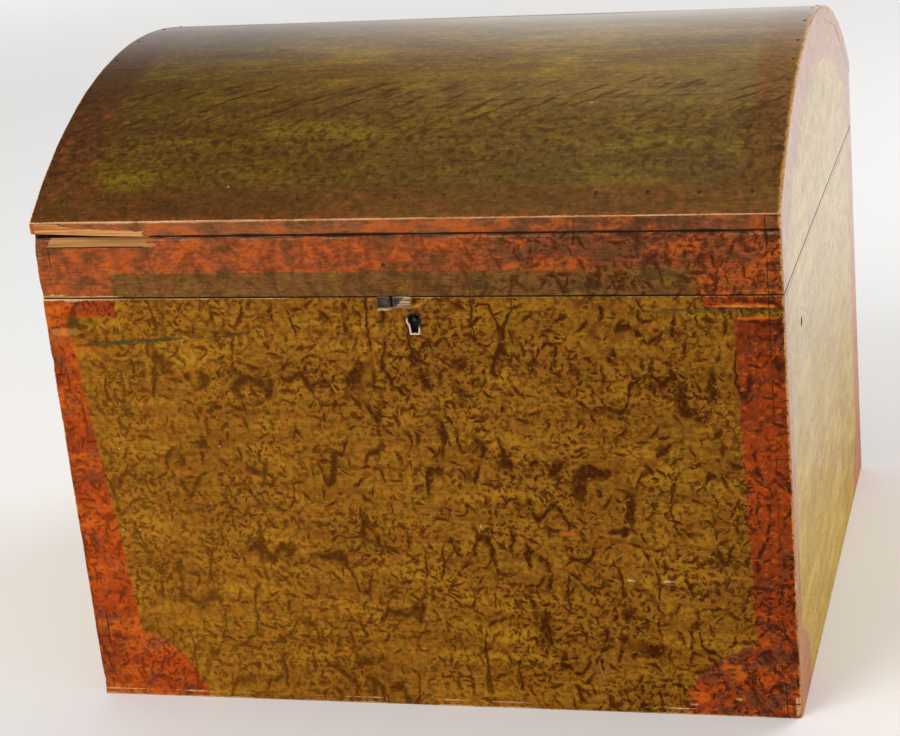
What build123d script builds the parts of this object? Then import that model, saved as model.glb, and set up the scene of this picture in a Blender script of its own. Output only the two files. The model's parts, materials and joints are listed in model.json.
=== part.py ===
from build123d import *
from math import asin, cos, degrees, radians, sin
import os

# A dovetailed pine box with a coopered dome lid. Millimetres, +Z up, the origin
# at the middle of the underside, the front at -Y.

# The carcass, which was glued up in one and then sawn apart into case and lid.
width = 500.0
depth = 440.0
board = 10.0
bottom_thickness = 5.5
seam_height = 297.5
seam_gap = 0.8

half_width = width / 2
half_depth = depth / 2
inner_half_width = half_width - board
inner_half_depth = half_depth - board
case_top = seam_height - seam_gap / 2
lid_foot = seam_height + seam_gap / 2

# Through dovetails: the tails are on the end boards, the pins on front and back.
tail_pitch = 35.25
tail_count = 10
top_tail_height = seam_height + 41.05
tail_half_height = 10.5
tail_slope = 1 / 6
joint_gap = 0.08

# The dome: boards planed round outside and left flat inside, butted on radial
# joints, with the outer two plumb cut where they overhang front and back.
dome_height = 430.0
dome_rise = 79.5
dome_overhang = 1.0
dome_board_thickness = 9.0
dome_joint_angles = [-21.8, -12.9, 7.7, 22.2]

dome_half_depth = half_depth + dome_overhang
dome_radius = (dome_half_depth**2 + dome_rise**2) / (2 * dome_rise)
dome_centre_height = dome_height - dome_radius
dome_inner_radius = dome_radius - dome_board_thickness
dome_edge_angle = degrees(asin(dome_half_depth / dome_radius))
dome_angles = [-dome_edge_angle] + dome_joint_angles + [dome_edge_angle]
dome_board_count = len(dome_angles) - 1

# A long splinter lost from under the left front corner of the dome.
splinter_length = 105.0
splinter_height = 5.0
splinter_depth = 13.0

# The bottom is two boards nailed on from below.
bottom_joint_y = 35.0
bottom_nail_inset = board / 2
bottom_nail_count_long = 6
bottom_nail_pitch_long = 92.0
bottom_nail_count_short = 4
bottom_nail_pitch_short = 96.0
bottom_nail_size = 2.2
bottom_nail_head = 4.2
bottom_nail_head_thickness = 1.0
bottom_nail_length = 24.0
bottom_nail_depth = 0.3

# Headless sprigs hold the dome boards.
sprig_radius = 1.1
sprig_length = 30.0
sprig_above = 8.0
sprig_edge_count = 15
sprig_edge_pitch = 33.0
sprig_edge_inset = 13.0
sprig_edge_lean = 13.5
sprig_end_angles = [-36, -30.5, -24.5, -19.5, -15, -10, -3, 5, 10.5, 19, 25, 30.5, 36]
sprig_edge_y = half_depth - sprig_edge_inset

# The hinges: butt hinges let into the back, whose barrels stand 1 mm proud. The
# rear arrises are bevelled so that they meet and stop the lid.
lid_opening = 105.0
hinge_x = 165.0
hinge_length = 42.0
hinge_axis_inset = 1.5
barrel_radius = 2.5
barrel_clearance = 0.3
pin_radius = 1.0
pin_clearance = 0.05
pin_head_radius = 1.7
pin_head_thickness = 0.8
knuckle_count = 5
knuckle_gap = 0.2
leaf_thickness = 1.2
leaf_inner_edge = 1.0
stop_clearance = 0.15
bevel_reach = 8.0
screw_count = 3
screw_pitch = 13.0
screw_radius = 1.0
screw_head_radius = 1.8
screw_head_height = 0.9
screw_length = 9.0
screw_fit = 0.03

hinge_axis_y = half_depth - hinge_axis_inset
leaf_edge_y = inner_half_depth + leaf_inner_edge
leaf_tab_y = hinge_axis_y - barrel_radius - barrel_clearance
screw_y = (leaf_edge_y + leaf_tab_y) / 2
knuckle_length = hinge_length / knuckle_count

# The lock: a half-mortise box lock behind a thin skin of the front board.
keyhole_x = 8.3
keyhole_height = seam_height - 16.0
keyhole_radius = 4.3
keyhole_foot_height = keyhole_height - 9.0
keyhole_foot_half_width = 2.4
keyhole_waist_half_width = 3.3
liner_thickness = 0.9
liner_depth = 1.8
lock_skin = 2.0
plate_left = -38.0
plate_right = 42.0
plate_foot = seam_height - 47.5
plate_thickness = 1.5
selvage_thickness = 1.6
works_left = -28.0
works_right = 32.0
works_foot = seam_height - 39.5
sheet_thickness = 1.0
works_fit = 0.1

lock_front_y = -half_depth + lock_skin
plate_front_y = -inner_half_depth - plate_thickness
works_top = case_top - selvage_thickness

# Wood broken away above the bolt shows the iron and its slit.
notch_left = -15.4
notch_right = 7.2
notch_foot = seam_height - 7.5
slit_x = -6.0
slit_width = 1.4
slit_foot = seam_height - 7.9

# The staple drops through the selvage and the bolt slides through its eye.
staple_thickness = 1.6
staple_front_y = -half_depth + 3.3
staple_back_y = -half_depth + 7.8
staple_foot = seam_height - 12.9
staple_plate_left = -20.0
staple_plate_right = 8.0
staple_plate_inset = 2.0
eye_foot = seam_height - 11.3
eye_top = seam_height - 4.7
eye_clearance = 0.25
staple_slot_clearance = 0.3
staple_nail_x = [-16.0, 4.0]
staple_nail_radius = 0.9
staple_nail_head_radius = 1.7
staple_nail_length = 9.0

bolt_front_y = -half_depth + 4.3
bolt_back_y = -half_depth + 6.3
bolt_foot = seam_height - 10.9
bolt_top = seam_height - 5.1
bolt_tip_x = -4.2
bolt_tail_x = 28.0
bolt_travel = 7.0
bolt_fit = 0.1
talon_half_width = 3.2
talon_depth = 2.4
stud_x = 18.0
stud_radius = 1.0
stud_slot_half_height = 1.2
guide_thickness = 2.0
guide_half_height = 4.6
guide_x = [-12.4, -2.4]
spring_thickness = 0.5
spring_root_x = 27.0
spring_tip_x = 9.0
spring_crown = 0.9

key_pin_radius = 1.3
key_pin_tip_y = -half_depth + 1.4
ward_radius = 5.4
ward_thickness = 0.7
ward_height = 1.5
lock_nail_radius = 0.9
lock_nail_length = 8.0
lock_nail_x = [-33.0, 37.0]
lock_nail_heights = [seam_height - 41.5, seam_height - 10.5]

rail_nail_x = -8.4
rail_nail_height = seam_height + 21.5
rail_nail_head_radius = 1.5
rail_nail_head_thickness = 0.8
rail_nail_length = 9.5

os.makedirs("parts", exist_ok=True)

top_end = (Align.CENTER, Align.CENTER, Align.MAX)
low_end = (Align.CENTER, Align.CENTER, Align.MIN)


def save(piece, label):
    piece.part.label = label
    export_step(piece.part, f"parts/{label}.step")


# ---- outlines in the plane of the end boards, as (y, z)


def dome_point(radius, angle):
    return (radius * sin(radians(angle)), dome_centre_height + radius * cos(radians(angle)))


def underside_at(y, low, high):
    # Height at y of the flat underside between two joint angles.
    y_low, z_low = dome_point(dome_inner_radius, low)
    y_high, z_high = dome_point(dome_inner_radius, high)
    return z_low + (y - y_low) * (z_high - z_low) / (y_high - y_low)


def dome_lip_height():
    return underside_at(-dome_half_depth, dome_angles[0], dome_angles[1])


def under_dome_points():
    # The boards' flat undersides, from the front lip over to the back lip.
    joints = [dome_point(dome_inner_radius, angle) for angle in dome_joint_angles]
    lip = dome_lip_height()
    return [(-dome_half_depth, lip)] + joints + [(dome_half_depth, lip)]


def tail_points(middle, side, play):
    # One tail, a little longer at its root than it shows, so that it joins the board.
    root = inner_half_depth - 1
    half_tip = tail_half_height + play
    half_root = half_tip - (half_depth - root) * tail_slope
    return [
        (side * root, middle - half_root),
        (side * half_depth, middle - half_tip),
        (side * half_depth, middle + half_tip),
        (side * root, middle + half_root),
    ]


def tail_heights():
    return [top_tail_height - tail_pitch * i for i in range(tail_count)]


def end_board(x_low, outline):
    # An end board: its tails and its body, kept inside the outline.
    with BuildPart() as blank:
        with BuildSketch(Plane.YZ.offset(x_low)):
            Rectangle(2 * inner_half_depth, dome_height, align=(Align.CENTER, Align.MIN))
            for side in (-1, 1):
                for middle in tail_heights():
                    Polygon(*tail_points(middle, side, 0), align=None)
            Polygon(*outline, align=None, mode=Mode.INTERSECT)
        extrude(amount=board)
    return blank.part


def long_board(side, outline):
    # A front or back board, cut out at both ends for the tails.
    with BuildPart() as blank:
        with BuildSketch(Plane.YZ.offset(-half_width)):
            with Locations((side * (half_depth - board / 2), 0)):
                Rectangle(board, dome_height, align=(Align.CENTER, Align.MIN))
            Polygon(*outline, align=None, mode=Mode.INTERSECT)
        extrude(amount=width)
        for x_low in (-half_width, inner_half_width):
            with BuildSketch(Plane.YZ.offset(x_low)):
                for middle in tail_heights():
                    Polygon(*tail_points(middle, side, joint_gap), align=None)
            extrude(amount=board, mode=Mode.SUBTRACT)
    return blank.part


def stop_bevel(up):
    # What is planed off the rear arris, below the seam (-1) or above it (1).
    half_angle = radians(lid_opening / 2)
    start_y = hinge_axis_y - stop_clearance * sin(half_angle)
    start_rise = -stop_clearance * cos(half_angle)
    far_y = start_y + bevel_reach * cos(half_angle)
    far_rise = start_rise - bevel_reach * sin(half_angle)
    rises = [(start_y, start_rise), (far_y, far_rise), (far_y, seam_gap), (start_y, seam_gap)]
    with BuildPart() as waste:
        with BuildSketch(Plane.YZ):
            Polygon(*[(y, seam_height - up * rise) for y, rise in rises], align=None)
        extrude(amount=half_width, both=True)
    return waste.part


case_outline = [
    (-half_depth, bottom_thickness),
    (half_depth, bottom_thickness),
    (half_depth, case_top),
    (-half_depth, case_top),
]
lid_outline = [(dome_half_depth, lid_foot), (-dome_half_depth, lid_foot)] + under_dome_points()
front_face = Plane.XZ.offset(half_depth)
case_bevel = stop_bevel(-1)
lid_bevel = stop_bevel(1)


# ---- hinges: leaves, pins and screws


def leaf_height(up):
    # Middle of a leaf's thickness: the case's is below the seam, the lid's above.
    return seam_height + up * (seam_gap + leaf_thickness) / 2


def knuckle_places(hinge_middle, first):
    start = hinge_middle - hinge_length / 2 + knuckle_length / 2
    return [start + knuckle_length * i for i in range(first, knuckle_count, 2)]


def hinge_leaf(hinge_middle, up, first):
    plate_middle_y = (leaf_edge_y + leaf_tab_y) / 2
    own_length = knuckle_length - knuckle_gap
    face = leaf_height(up) - up * leaf_thickness / 2
    with BuildPart() as leaf:
        with Locations((hinge_middle, plate_middle_y, leaf_height(up))):
            Box(hinge_length, leaf_tab_y - leaf_edge_y, leaf_thickness)
        for x in knuckle_places(hinge_middle, first):
            with Locations((x, (leaf_tab_y + hinge_axis_y) / 2, leaf_height(up))):
                Box(own_length, hinge_axis_y - leaf_tab_y, leaf_thickness)
            with Locations(Location((x, hinge_axis_y, seam_height), (0, 90, 0))):
                Cylinder(barrel_radius, own_length)
        with Locations(Location((hinge_middle, hinge_axis_y, seam_height), (0, 90, 0))):
            Cylinder(pin_radius + pin_clearance, hinge_length, mode=Mode.SUBTRACT)
        with Locations(*screw_seats(hinge_middle, up, face)):
            Cylinder(
                screw_radius + screw_fit, 2 * leaf_thickness, align=top_end, mode=Mode.SUBTRACT
            )
            Cone(
                screw_radius + screw_fit,
                screw_head_radius + screw_fit,
                screw_head_height,
                align=top_end,
                mode=Mode.SUBTRACT,
            )
    return leaf.part


def screw_seats(hinge_middle, up, face):
    # Seats on the leaf's face that is seen when the lid is open, heads outwards.
    turn = (0, 0, 0) if up < 0 else (180, 0, 0)
    first = hinge_middle - screw_pitch * (screw_count - 1) / 2
    return [Location((first + screw_pitch * i, screw_y, face), turn) for i in range(screw_count)]


def hinge_screws(hinge_middle, up, grow):
    face = leaf_height(up) - up * leaf_thickness / 2
    with BuildPart() as screws:
        with Locations(*screw_seats(hinge_middle, up, face)):
            Cone(
                screw_radius + grow, screw_head_radius + grow, screw_head_height, align=top_end
            )
            Cylinder(screw_radius + grow, screw_length + grow, align=top_end)
    return screws.part


def hinge_gain(hinge_middle, up):
    # The wood cut away for a leaf, its barrel and its screws.
    gain_length = hinge_length + 2 * (pin_head_thickness + barrel_clearance)
    with BuildPart() as gain:
        with Locations((hinge_middle, (leaf_edge_y + hinge_axis_y) / 2, leaf_height(up))):
            Box(hinge_length, hinge_axis_y - leaf_edge_y, leaf_thickness)
        with Locations(Location((hinge_middle, hinge_axis_y, seam_height), (0, 90, 0))):
            Cylinder(barrel_radius + barrel_clearance, gain_length)
        add(hinge_screws(hinge_middle, up, screw_fit))
    return gain.part


for side_name, hinge_middle in (("left", -hinge_x), ("right", hinge_x)):
    with BuildPart() as case_leaf:
        add(hinge_leaf(hinge_middle, -1, 0))
    save(case_leaf, f"hinge_{side_name}_case_leaf")

    with BuildPart() as lid_leaf:
        add(hinge_leaf(hinge_middle, 1, 1))
    save(lid_leaf, f"hinge_{side_name}_lid_leaf")

    with BuildPart() as hinge_pin:
        with Locations(Location((hinge_middle, hinge_axis_y, seam_height), (0, 90, 0))):
            Cylinder(pin_radius, hinge_length)
        for end in (-1, 1):
            head_x = hinge_middle + end * (hinge_length - knuckle_gap + pin_head_thickness) / 2
            with Locations(Location((head_x, hinge_axis_y, seam_height), (0, 90, 0))):
                Cylinder(pin_head_radius, pin_head_thickness)
    save(hinge_pin, f"hinge_{side_name}_pin")

    with BuildPart() as case_screws:
        add(hinge_screws(hinge_middle, -1, 0))
    save(case_screws, f"hinge_{side_name}_case_screws")

    with BuildPart() as lid_screws:
        add(hinge_screws(hinge_middle, 1, 0))
    save(lid_screws, f"hinge_{side_name}_lid_screws")


# ---- the case


def draw_keyhole(grow, mode=Mode.ADD):
    # Round at the top, tapering to a narrower foot for the key's bit.
    radius = keyhole_radius + grow
    waist = keyhole_waist_half_width + grow
    foot = keyhole_foot_half_width + grow
    foot_height = keyhole_foot_height - grow
    with Locations((keyhole_x, keyhole_height)):
        Circle(radius, mode=mode)
    Polygon(
        (keyhole_x - foot, foot_height),
        (keyhole_x + foot, foot_height),
        (keyhole_x + waist, keyhole_height),
        (keyhole_x - waist, keyhole_height),
        align=None,
        mode=mode,
    )


def bottom_nail_spots():
    # Rows along front and back, and rows down the sides between them.
    spots = []
    long_start = -bottom_nail_pitch_long * (bottom_nail_count_long - 1) / 2
    short_start = -bottom_nail_pitch_short * (bottom_nail_count_short - 1) / 2
    for side in (-1, 1):
        for i in range(bottom_nail_count_long):
            x = long_start + bottom_nail_pitch_long * i
            spots.append((x, side * (half_depth - bottom_nail_inset)))
        for i in range(bottom_nail_count_short):
            y = short_start + bottom_nail_pitch_short * i
            spots.append((side * (half_width - bottom_nail_inset), y))
    return spots


with BuildPart() as bottom_nails:
    for x, y in bottom_nail_spots():
        with Locations((x, y, bottom_nail_depth)):
            Box(bottom_nail_head, bottom_nail_head, bottom_nail_head_thickness, align=low_end)
            Box(bottom_nail_size, bottom_nail_size, bottom_nail_length, align=low_end)
save(bottom_nails, "bottom_nails")

with BuildPart() as bottom_nail_wells:
    # The heads are punched in, so each leaves an open well below it.
    for x, y in bottom_nail_spots():
        with Locations((x, y, 0)):
            Box(bottom_nail_head, bottom_nail_head, bottom_nail_depth, align=low_end)

bottom_spans = (
    ("bottom_front_board", -half_depth, bottom_joint_y),
    ("bottom_back_board", bottom_joint_y, half_depth),
)
for label, y_low, y_high in bottom_spans:
    with BuildPart() as bottom_board:
        with BuildSketch():
            with Locations((0, (y_low + y_high) / 2)):
                Rectangle(width, y_high - y_low)
        extrude(amount=bottom_thickness)
        add(bottom_nails.part, mode=Mode.SUBTRACT)
        add(bottom_nail_wells.part, mode=Mode.SUBTRACT)
    save(bottom_board, label)

for label, x_low in (("left_end_board", -half_width), ("right_end_board", inner_half_width)):
    with BuildPart() as case_end:
        add(end_board(x_low, case_outline))
        add(case_bevel, mode=Mode.SUBTRACT)
        add(bottom_nails.part, mode=Mode.SUBTRACT)
    save(case_end, label)

with BuildPart() as back_board:
    add(long_board(1, case_outline))
    add(case_bevel, mode=Mode.SUBTRACT)
    for hinge_middle in (-hinge_x, hinge_x):
        add(hinge_gain(hinge_middle, -1), mode=Mode.SUBTRACT)
    add(bottom_nails.part, mode=Mode.SUBTRACT)
save(back_board, "back_board")


# ---- the lock


def upright_block(left, right, foot, top, front_y, back_y, mode=Mode.ADD):
    # A square block given by its six faces.
    with Locations(((left + right) / 2, (front_y + back_y) / 2, (foot + top) / 2)):
        Box(right - left, back_y - front_y, top - foot, mode=mode)


slot_left = slit_x - staple_thickness / 2 - staple_slot_clearance
slot_right = slit_x + staple_thickness / 2 + staple_slot_clearance
slit_left = slit_x - slit_width / 2
slit_right = slit_x + slit_width / 2
works_back_y = plate_front_y
bolt_middle_height = (bolt_foot + bolt_top) / 2

with BuildPart() as lock_nails:
    for x in lock_nail_x:
        for z in lock_nail_heights:
            with Locations(Location((x, -inner_half_depth, z), (90, 0, 0))):
                Cylinder(lock_nail_radius, lock_nail_length, align=low_end)
save(lock_nails, "lock_nails")

with BuildPart() as lock_plate:
    upright_block(
        plate_left, plate_right, plate_foot, case_top, plate_front_y, -inner_half_depth
    )
    upright_block(
        plate_left, plate_right, works_top, case_top, lock_front_y, -inner_half_depth
    )
    for x in guide_x:
        left = x - guide_thickness / 2
        foot = bolt_middle_height - guide_half_height
        upright_block(
            left,
            left + guide_thickness,
            foot,
            works_top,
            lock_front_y + sheet_thickness,
            works_back_y,
        )
    with Locations(Location((stud_x, works_back_y, bolt_middle_height), (90, 0, 0))):
        Cylinder(stud_radius, bolt_back_y - bolt_front_y + 3 * sheet_thickness, align=low_end)
    # The bolt's way through both guides.
    upright_block(
        guide_x[0] - guide_thickness,
        guide_x[1] + guide_thickness,
        bolt_foot - bolt_fit,
        bolt_top + bolt_fit,
        bolt_front_y - bolt_fit,
        bolt_back_y + bolt_fit,
        Mode.SUBTRACT,
    )
    # The slot for the staple and the slit in front of it.
    upright_block(
        slot_left,
        slot_right,
        works_top,
        case_top,
        staple_front_y - staple_slot_clearance,
        staple_back_y + staple_slot_clearance,
        Mode.SUBTRACT,
    )
    upright_block(
        slit_left,
        slit_right,
        works_top,
        case_top,
        lock_front_y,
        staple_back_y,
        Mode.SUBTRACT,
    )
    add(lock_nails.part, mode=Mode.SUBTRACT)
save(lock_plate, "lock_plate")

with BuildPart() as lock_cap:
    upright_block(works_left, works_right, works_foot, works_top, lock_front_y, works_back_y)
    upright_block(
        works_left + sheet_thickness,
        works_right - sheet_thickness,
        works_foot + sheet_thickness,
        works_top,
        lock_front_y + sheet_thickness,
        works_back_y,
        Mode.SUBTRACT,
    )
    upright_block(
        slit_left,
        slit_right,
        slit_foot,
        works_top,
        lock_front_y,
        works_back_y,
        Mode.SUBTRACT,
    )
    with BuildSketch(front_face):
        draw_keyhole(0)
    extrude(amount=-lock_skin - sheet_thickness, mode=Mode.SUBTRACT)
save(lock_cap, "lock_cap")

with BuildPart() as lock_key_pin:
    with Locations(Location((keyhole_x, works_back_y, keyhole_height), (90, 0, 0))):
        Cylinder(key_pin_radius, works_back_y - key_pin_tip_y, align=low_end)
save(lock_key_pin, "lock_key_pin")

with BuildPart() as lock_ward:
    with Locations(Location((keyhole_x, works_back_y, keyhole_height), (90, 0, 0))):
        Cylinder(ward_radius, ward_height, align=low_end)
        Cylinder(
            ward_radius - ward_thickness, ward_height, align=low_end, mode=Mode.SUBTRACT
        )
save(lock_ward, "lock_ward")

with BuildPart() as lock_bolt:
    upright_block(bolt_tip_x, bolt_tail_x, bolt_foot, bolt_top, bolt_front_y, bolt_back_y)
    upright_block(
        keyhole_x - talon_half_width,
        keyhole_x + talon_half_width,
        bolt_foot,
        bolt_foot + talon_depth,
        bolt_front_y,
        bolt_back_y,
        Mode.SUBTRACT,
    )
    upright_block(
        stud_x - stud_slot_half_height,
        stud_x + bolt_travel + stud_slot_half_height,
        bolt_middle_height - stud_slot_half_height,
        bolt_middle_height + stud_slot_half_height,
        bolt_front_y,
        bolt_back_y,
        Mode.SUBTRACT,
    )
save(lock_bolt, "lock_bolt")

with BuildPart() as lock_spring:
    # A leaf riveted to the bolt's top edge, which presses up under the selvage.
    tip_height = works_top - spring_crown
    with BuildSketch(Plane.XZ.offset(-bolt_back_y)):
        with BuildLine():
            Line((spring_root_x, bolt_top), (spring_root_x, bolt_top + spring_thickness))
            Line(
                (spring_root_x, bolt_top + spring_thickness),
                (spring_tip_x, tip_height + spring_thickness),
            )
            Line((spring_tip_x, tip_height + spring_thickness), (spring_tip_x, tip_height))
            Line((spring_tip_x, tip_height), (spring_root_x, bolt_top))
        make_face()
    extrude(amount=bolt_back_y - bolt_front_y)
save(lock_spring, "lock_spring")

with BuildPart() as keyhole_liner:
    with BuildSketch(front_face):
        draw_keyhole(liner_thickness)
        draw_keyhole(0, Mode.SUBTRACT)
    extrude(amount=-liner_depth)
save(keyhole_liner, "keyhole_liner")

with BuildPart() as front_board:
    add(long_board(-1, case_outline))
    # The recess for the back plate, the mortise for the works, the selvage's rebate.
    upright_block(
        plate_left,
        plate_right,
        plate_foot,
        case_top,
        plate_front_y,
        -inner_half_depth,
        Mode.SUBTRACT,
    )
    upright_block(
        works_left - works_fit,
        works_right + works_fit,
        works_foot - works_fit,
        case_top,
        lock_front_y,
        -inner_half_depth,
        Mode.SUBTRACT,
    )
    upright_block(
        plate_left,
        plate_right,
        works_top,
        case_top,
        lock_front_y,
        -inner_half_depth,
        Mode.SUBTRACT,
    )
    upright_block(
        notch_left,
        notch_right,
        notch_foot,
        case_top,
        -half_depth,
        lock_front_y,
        Mode.SUBTRACT,
    )
    with BuildSketch(front_face):
        draw_keyhole(liner_thickness)
    extrude(amount=-lock_skin, mode=Mode.SUBTRACT)
    add(lock_nails.part, mode=Mode.SUBTRACT)
    add(bottom_nails.part, mode=Mode.SUBTRACT)
save(front_board, "front_board")


# ---- the lid

with BuildPart() as rail_nail:
    with Locations(Location((rail_nail_x, -half_depth, rail_nail_height), (-90, 0, 0))):
        Cylinder(rail_nail_head_radius, rail_nail_head_thickness, align=low_end)
        Cylinder(lock_nail_radius, rail_nail_length, align=low_end)
save(rail_nail, "rail_nail")

staple_plate_front_y = -half_depth + staple_plate_inset
staple_plate_back_y = -inner_half_depth - staple_plate_inset / 2
staple_plate_middle_y = (staple_plate_front_y + staple_plate_back_y) / 2

with BuildPart() as staple_nails:
    for x in staple_nail_x:
        with Locations((x, staple_plate_middle_y, lid_foot)):
            Cylinder(staple_nail_head_radius, plate_thickness / 2, align=low_end)
            Cylinder(staple_nail_radius, staple_nail_length, align=low_end)
save(staple_nails, "staple_nails")

with BuildPart() as lid_staple:
    upright_block(
        staple_plate_left,
        staple_plate_right,
        lid_foot,
        lid_foot + plate_thickness,
        staple_plate_front_y,
        staple_plate_back_y,
    )
    upright_block(
        slit_x - staple_thickness / 2,
        slit_x + staple_thickness / 2,
        staple_foot,
        lid_foot,
        staple_front_y,
        staple_back_y,
    )
    upright_block(
        slit_x - staple_thickness,
        slit_x + staple_thickness,
        eye_foot,
        eye_top,
        bolt_front_y - eye_clearance,
        bolt_back_y + eye_clearance,
        Mode.SUBTRACT,
    )
    add(staple_nails.part, mode=Mode.SUBTRACT)
save(lid_staple, "lid_staple")


def dome_envelope():
    # Everything under the dome's round outer face.
    with BuildPart() as envelope:
        with BuildSketch(Plane.YZ):
            with BuildLine():
                front = dome_point(dome_radius, -dome_edge_angle)
                back = dome_point(dome_radius, dome_edge_angle)
                ThreePointArc(front, (0, dome_height), back)
                Line(back, (dome_half_depth, lid_foot))
                Line((dome_half_depth, lid_foot), (-dome_half_depth, lid_foot))
                Line((-dome_half_depth, lid_foot), front)
            make_face()
        extrude(amount=half_width, both=True)
    return envelope.part


def sprig_seat(x, y, z, lean):
    # A seat whose own Z points out of the wood, leaning from upright about X.
    return Location((x, y, z), (-lean, 0, 0))


under_round = dome_envelope()

with BuildPart() as dome_edge_sprigs:
    first_x = -sprig_edge_pitch * (sprig_edge_count - 1) / 2
    edge_height = dome_centre_height + (dome_radius**2 - sprig_edge_y**2) ** 0.5
    for side in (-1, 1):
        for i in range(sprig_edge_count):
            x = first_x + sprig_edge_pitch * i
            seat = sprig_seat(x, side * sprig_edge_y, edge_height, -side * sprig_edge_lean)
            with Locations(seat * Location((0, 0, sprig_above))):
                Cylinder(sprig_radius, sprig_length + sprig_above, align=top_end)
    add(under_round, mode=Mode.INTERSECT)
save(dome_edge_sprigs, "dome_edge_sprigs")

with BuildPart() as dome_end_sprigs:
    for end in (-1, 1):
        for angle in sprig_end_angles:
            y, z = dome_point(dome_radius, angle)
            seat = sprig_seat(end * (half_width - board / 2), y, z, angle)
            with Locations(seat * Location((0, 0, sprig_above))):
                Cylinder(sprig_radius, sprig_length + sprig_above, align=top_end)
    add(under_round, mode=Mode.INTERSECT)
save(dome_end_sprigs, "dome_end_sprigs")


def splinter():
    # A wedge along the underside, full height at the left end and running out.
    low = dome_point(dome_inner_radius, dome_angles[0])
    high = dome_point(dome_inner_radius, dome_angles[1])
    slope = Vector(0, high[0] - low[0], high[1] - low[1])
    lip = Vector(-half_width, -dome_half_depth, dome_lip_height())
    seat = Plane(origin=lip, x_dir=(1, 0, 0), z_dir=slope)
    with BuildPart() as wedge:
        with BuildSketch(seat.offset(-splinter_depth)):
            Polygon((0, 0), (0, -splinter_height), (splinter_length, 0), align=None)
        extrude(amount=2 * splinter_depth)
    return wedge.part


for i in range(dome_board_count):
    low = dome_angles[i]
    high = dome_angles[i + 1]
    with BuildPart() as dome_board:
        with BuildSketch(Plane.YZ):
            with BuildLine():
                outer_low = dome_point(dome_radius, low)
                outer_high = dome_point(dome_radius, high)
                inner_low = dome_point(dome_inner_radius, low)
                inner_high = dome_point(dome_inner_radius, high)
                if i == 0:
                    inner_low = (-dome_half_depth, dome_lip_height())
                if i == dome_board_count - 1:
                    inner_high = (dome_half_depth, dome_lip_height())
                ThreePointArc(outer_low, dome_point(dome_radius, (low + high) / 2), outer_high)
                Line(outer_high, inner_high)
                Line(inner_high, inner_low)
                Line(inner_low, outer_low)
            make_face()
        extrude(amount=half_width, both=True)
        if i == 0:
            add(splinter(), mode=Mode.SUBTRACT)
        add(dome_edge_sprigs.part, mode=Mode.SUBTRACT)
        add(dome_end_sprigs.part, mode=Mode.SUBTRACT)
    save(dome_board, f"dome_board_{i + 1}")

for label, x_low in (("lid_left_end", -half_width), ("lid_right_end", inner_half_width)):
    with BuildPart() as lid_end:
        add(end_board(x_low, lid_outline))
        add(lid_bevel, mode=Mode.SUBTRACT)
        add(dome_end_sprigs.part, mode=Mode.SUBTRACT)
        add(dome_edge_sprigs.part, mode=Mode.SUBTRACT)
    save(lid_end, label)

with BuildPart() as lid_back_rail:
    add(long_board(1, lid_outline))
    add(lid_bevel, mode=Mode.SUBTRACT)
    for hinge_middle in (-hinge_x, hinge_x):
        add(hinge_gain(hinge_middle, 1), mode=Mode.SUBTRACT)
    add(dome_edge_sprigs.part, mode=Mode.SUBTRACT)
    add(dome_end_sprigs.part, mode=Mode.SUBTRACT)
save(lid_back_rail, "lid_back_rail")

with BuildPart() as lid_front_rail:
    add(long_board(-1, lid_outline))
    upright_block(
        staple_plate_left,
        staple_plate_right,
        lid_foot,
        lid_foot + plate_thickness,
        staple_plate_front_y,
        staple_plate_back_y,
        Mode.SUBTRACT,
    )
    add(staple_nails.part, mode=Mode.SUBTRACT)
    add(rail_nail.part, mode=Mode.SUBTRACT)
    add(dome_edge_sprigs.part, mode=Mode.SUBTRACT)
    add(dome_end_sprigs.part, mode=Mode.SUBTRACT)
save(lid_front_rail, "lid_front_rail")
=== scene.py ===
import json
import math
from types import SimpleNamespace
import bpy
import numpy as np
from mathutils import Matrix, Vector


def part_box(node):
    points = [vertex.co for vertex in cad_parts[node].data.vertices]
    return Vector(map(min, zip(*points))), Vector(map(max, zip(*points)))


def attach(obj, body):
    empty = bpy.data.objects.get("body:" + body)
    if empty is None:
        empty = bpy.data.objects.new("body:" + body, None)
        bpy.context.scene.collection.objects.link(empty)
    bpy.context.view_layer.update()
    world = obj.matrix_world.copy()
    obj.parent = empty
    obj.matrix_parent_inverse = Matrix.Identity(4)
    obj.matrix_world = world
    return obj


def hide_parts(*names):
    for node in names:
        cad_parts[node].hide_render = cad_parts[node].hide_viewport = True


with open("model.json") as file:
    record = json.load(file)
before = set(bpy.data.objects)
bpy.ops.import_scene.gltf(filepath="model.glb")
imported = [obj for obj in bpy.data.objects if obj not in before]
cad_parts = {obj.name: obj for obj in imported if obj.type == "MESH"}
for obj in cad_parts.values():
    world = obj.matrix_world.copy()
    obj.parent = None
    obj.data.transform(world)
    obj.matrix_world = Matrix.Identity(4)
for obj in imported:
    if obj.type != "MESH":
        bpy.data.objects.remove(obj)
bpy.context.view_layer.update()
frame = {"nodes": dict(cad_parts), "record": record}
print("frame loaded with", len(frame["nodes"]), "pieces")

# The box's own sizes, in metres, worked out from its boards.
frontLow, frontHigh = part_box("front_board")
halfWidth = frontHigh.x
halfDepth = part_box("back_board")[1].y
boardThick = frontHigh.y - frontLow.y
caseFoot = frontLow.z
caseTop = frontHigh.z
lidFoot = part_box("lid_front_rail")[0].z
seamHeight = (caseTop + lidFoot) / 2
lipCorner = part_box("dome_board_1")[0]
domeFront = -lipCorner.y
lipFoot = lipCorner.z
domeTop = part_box("dome_board_3")[1].z
innerWidth = halfWidth - boardThick
innerDepth = halfDepth - boardThick

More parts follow.
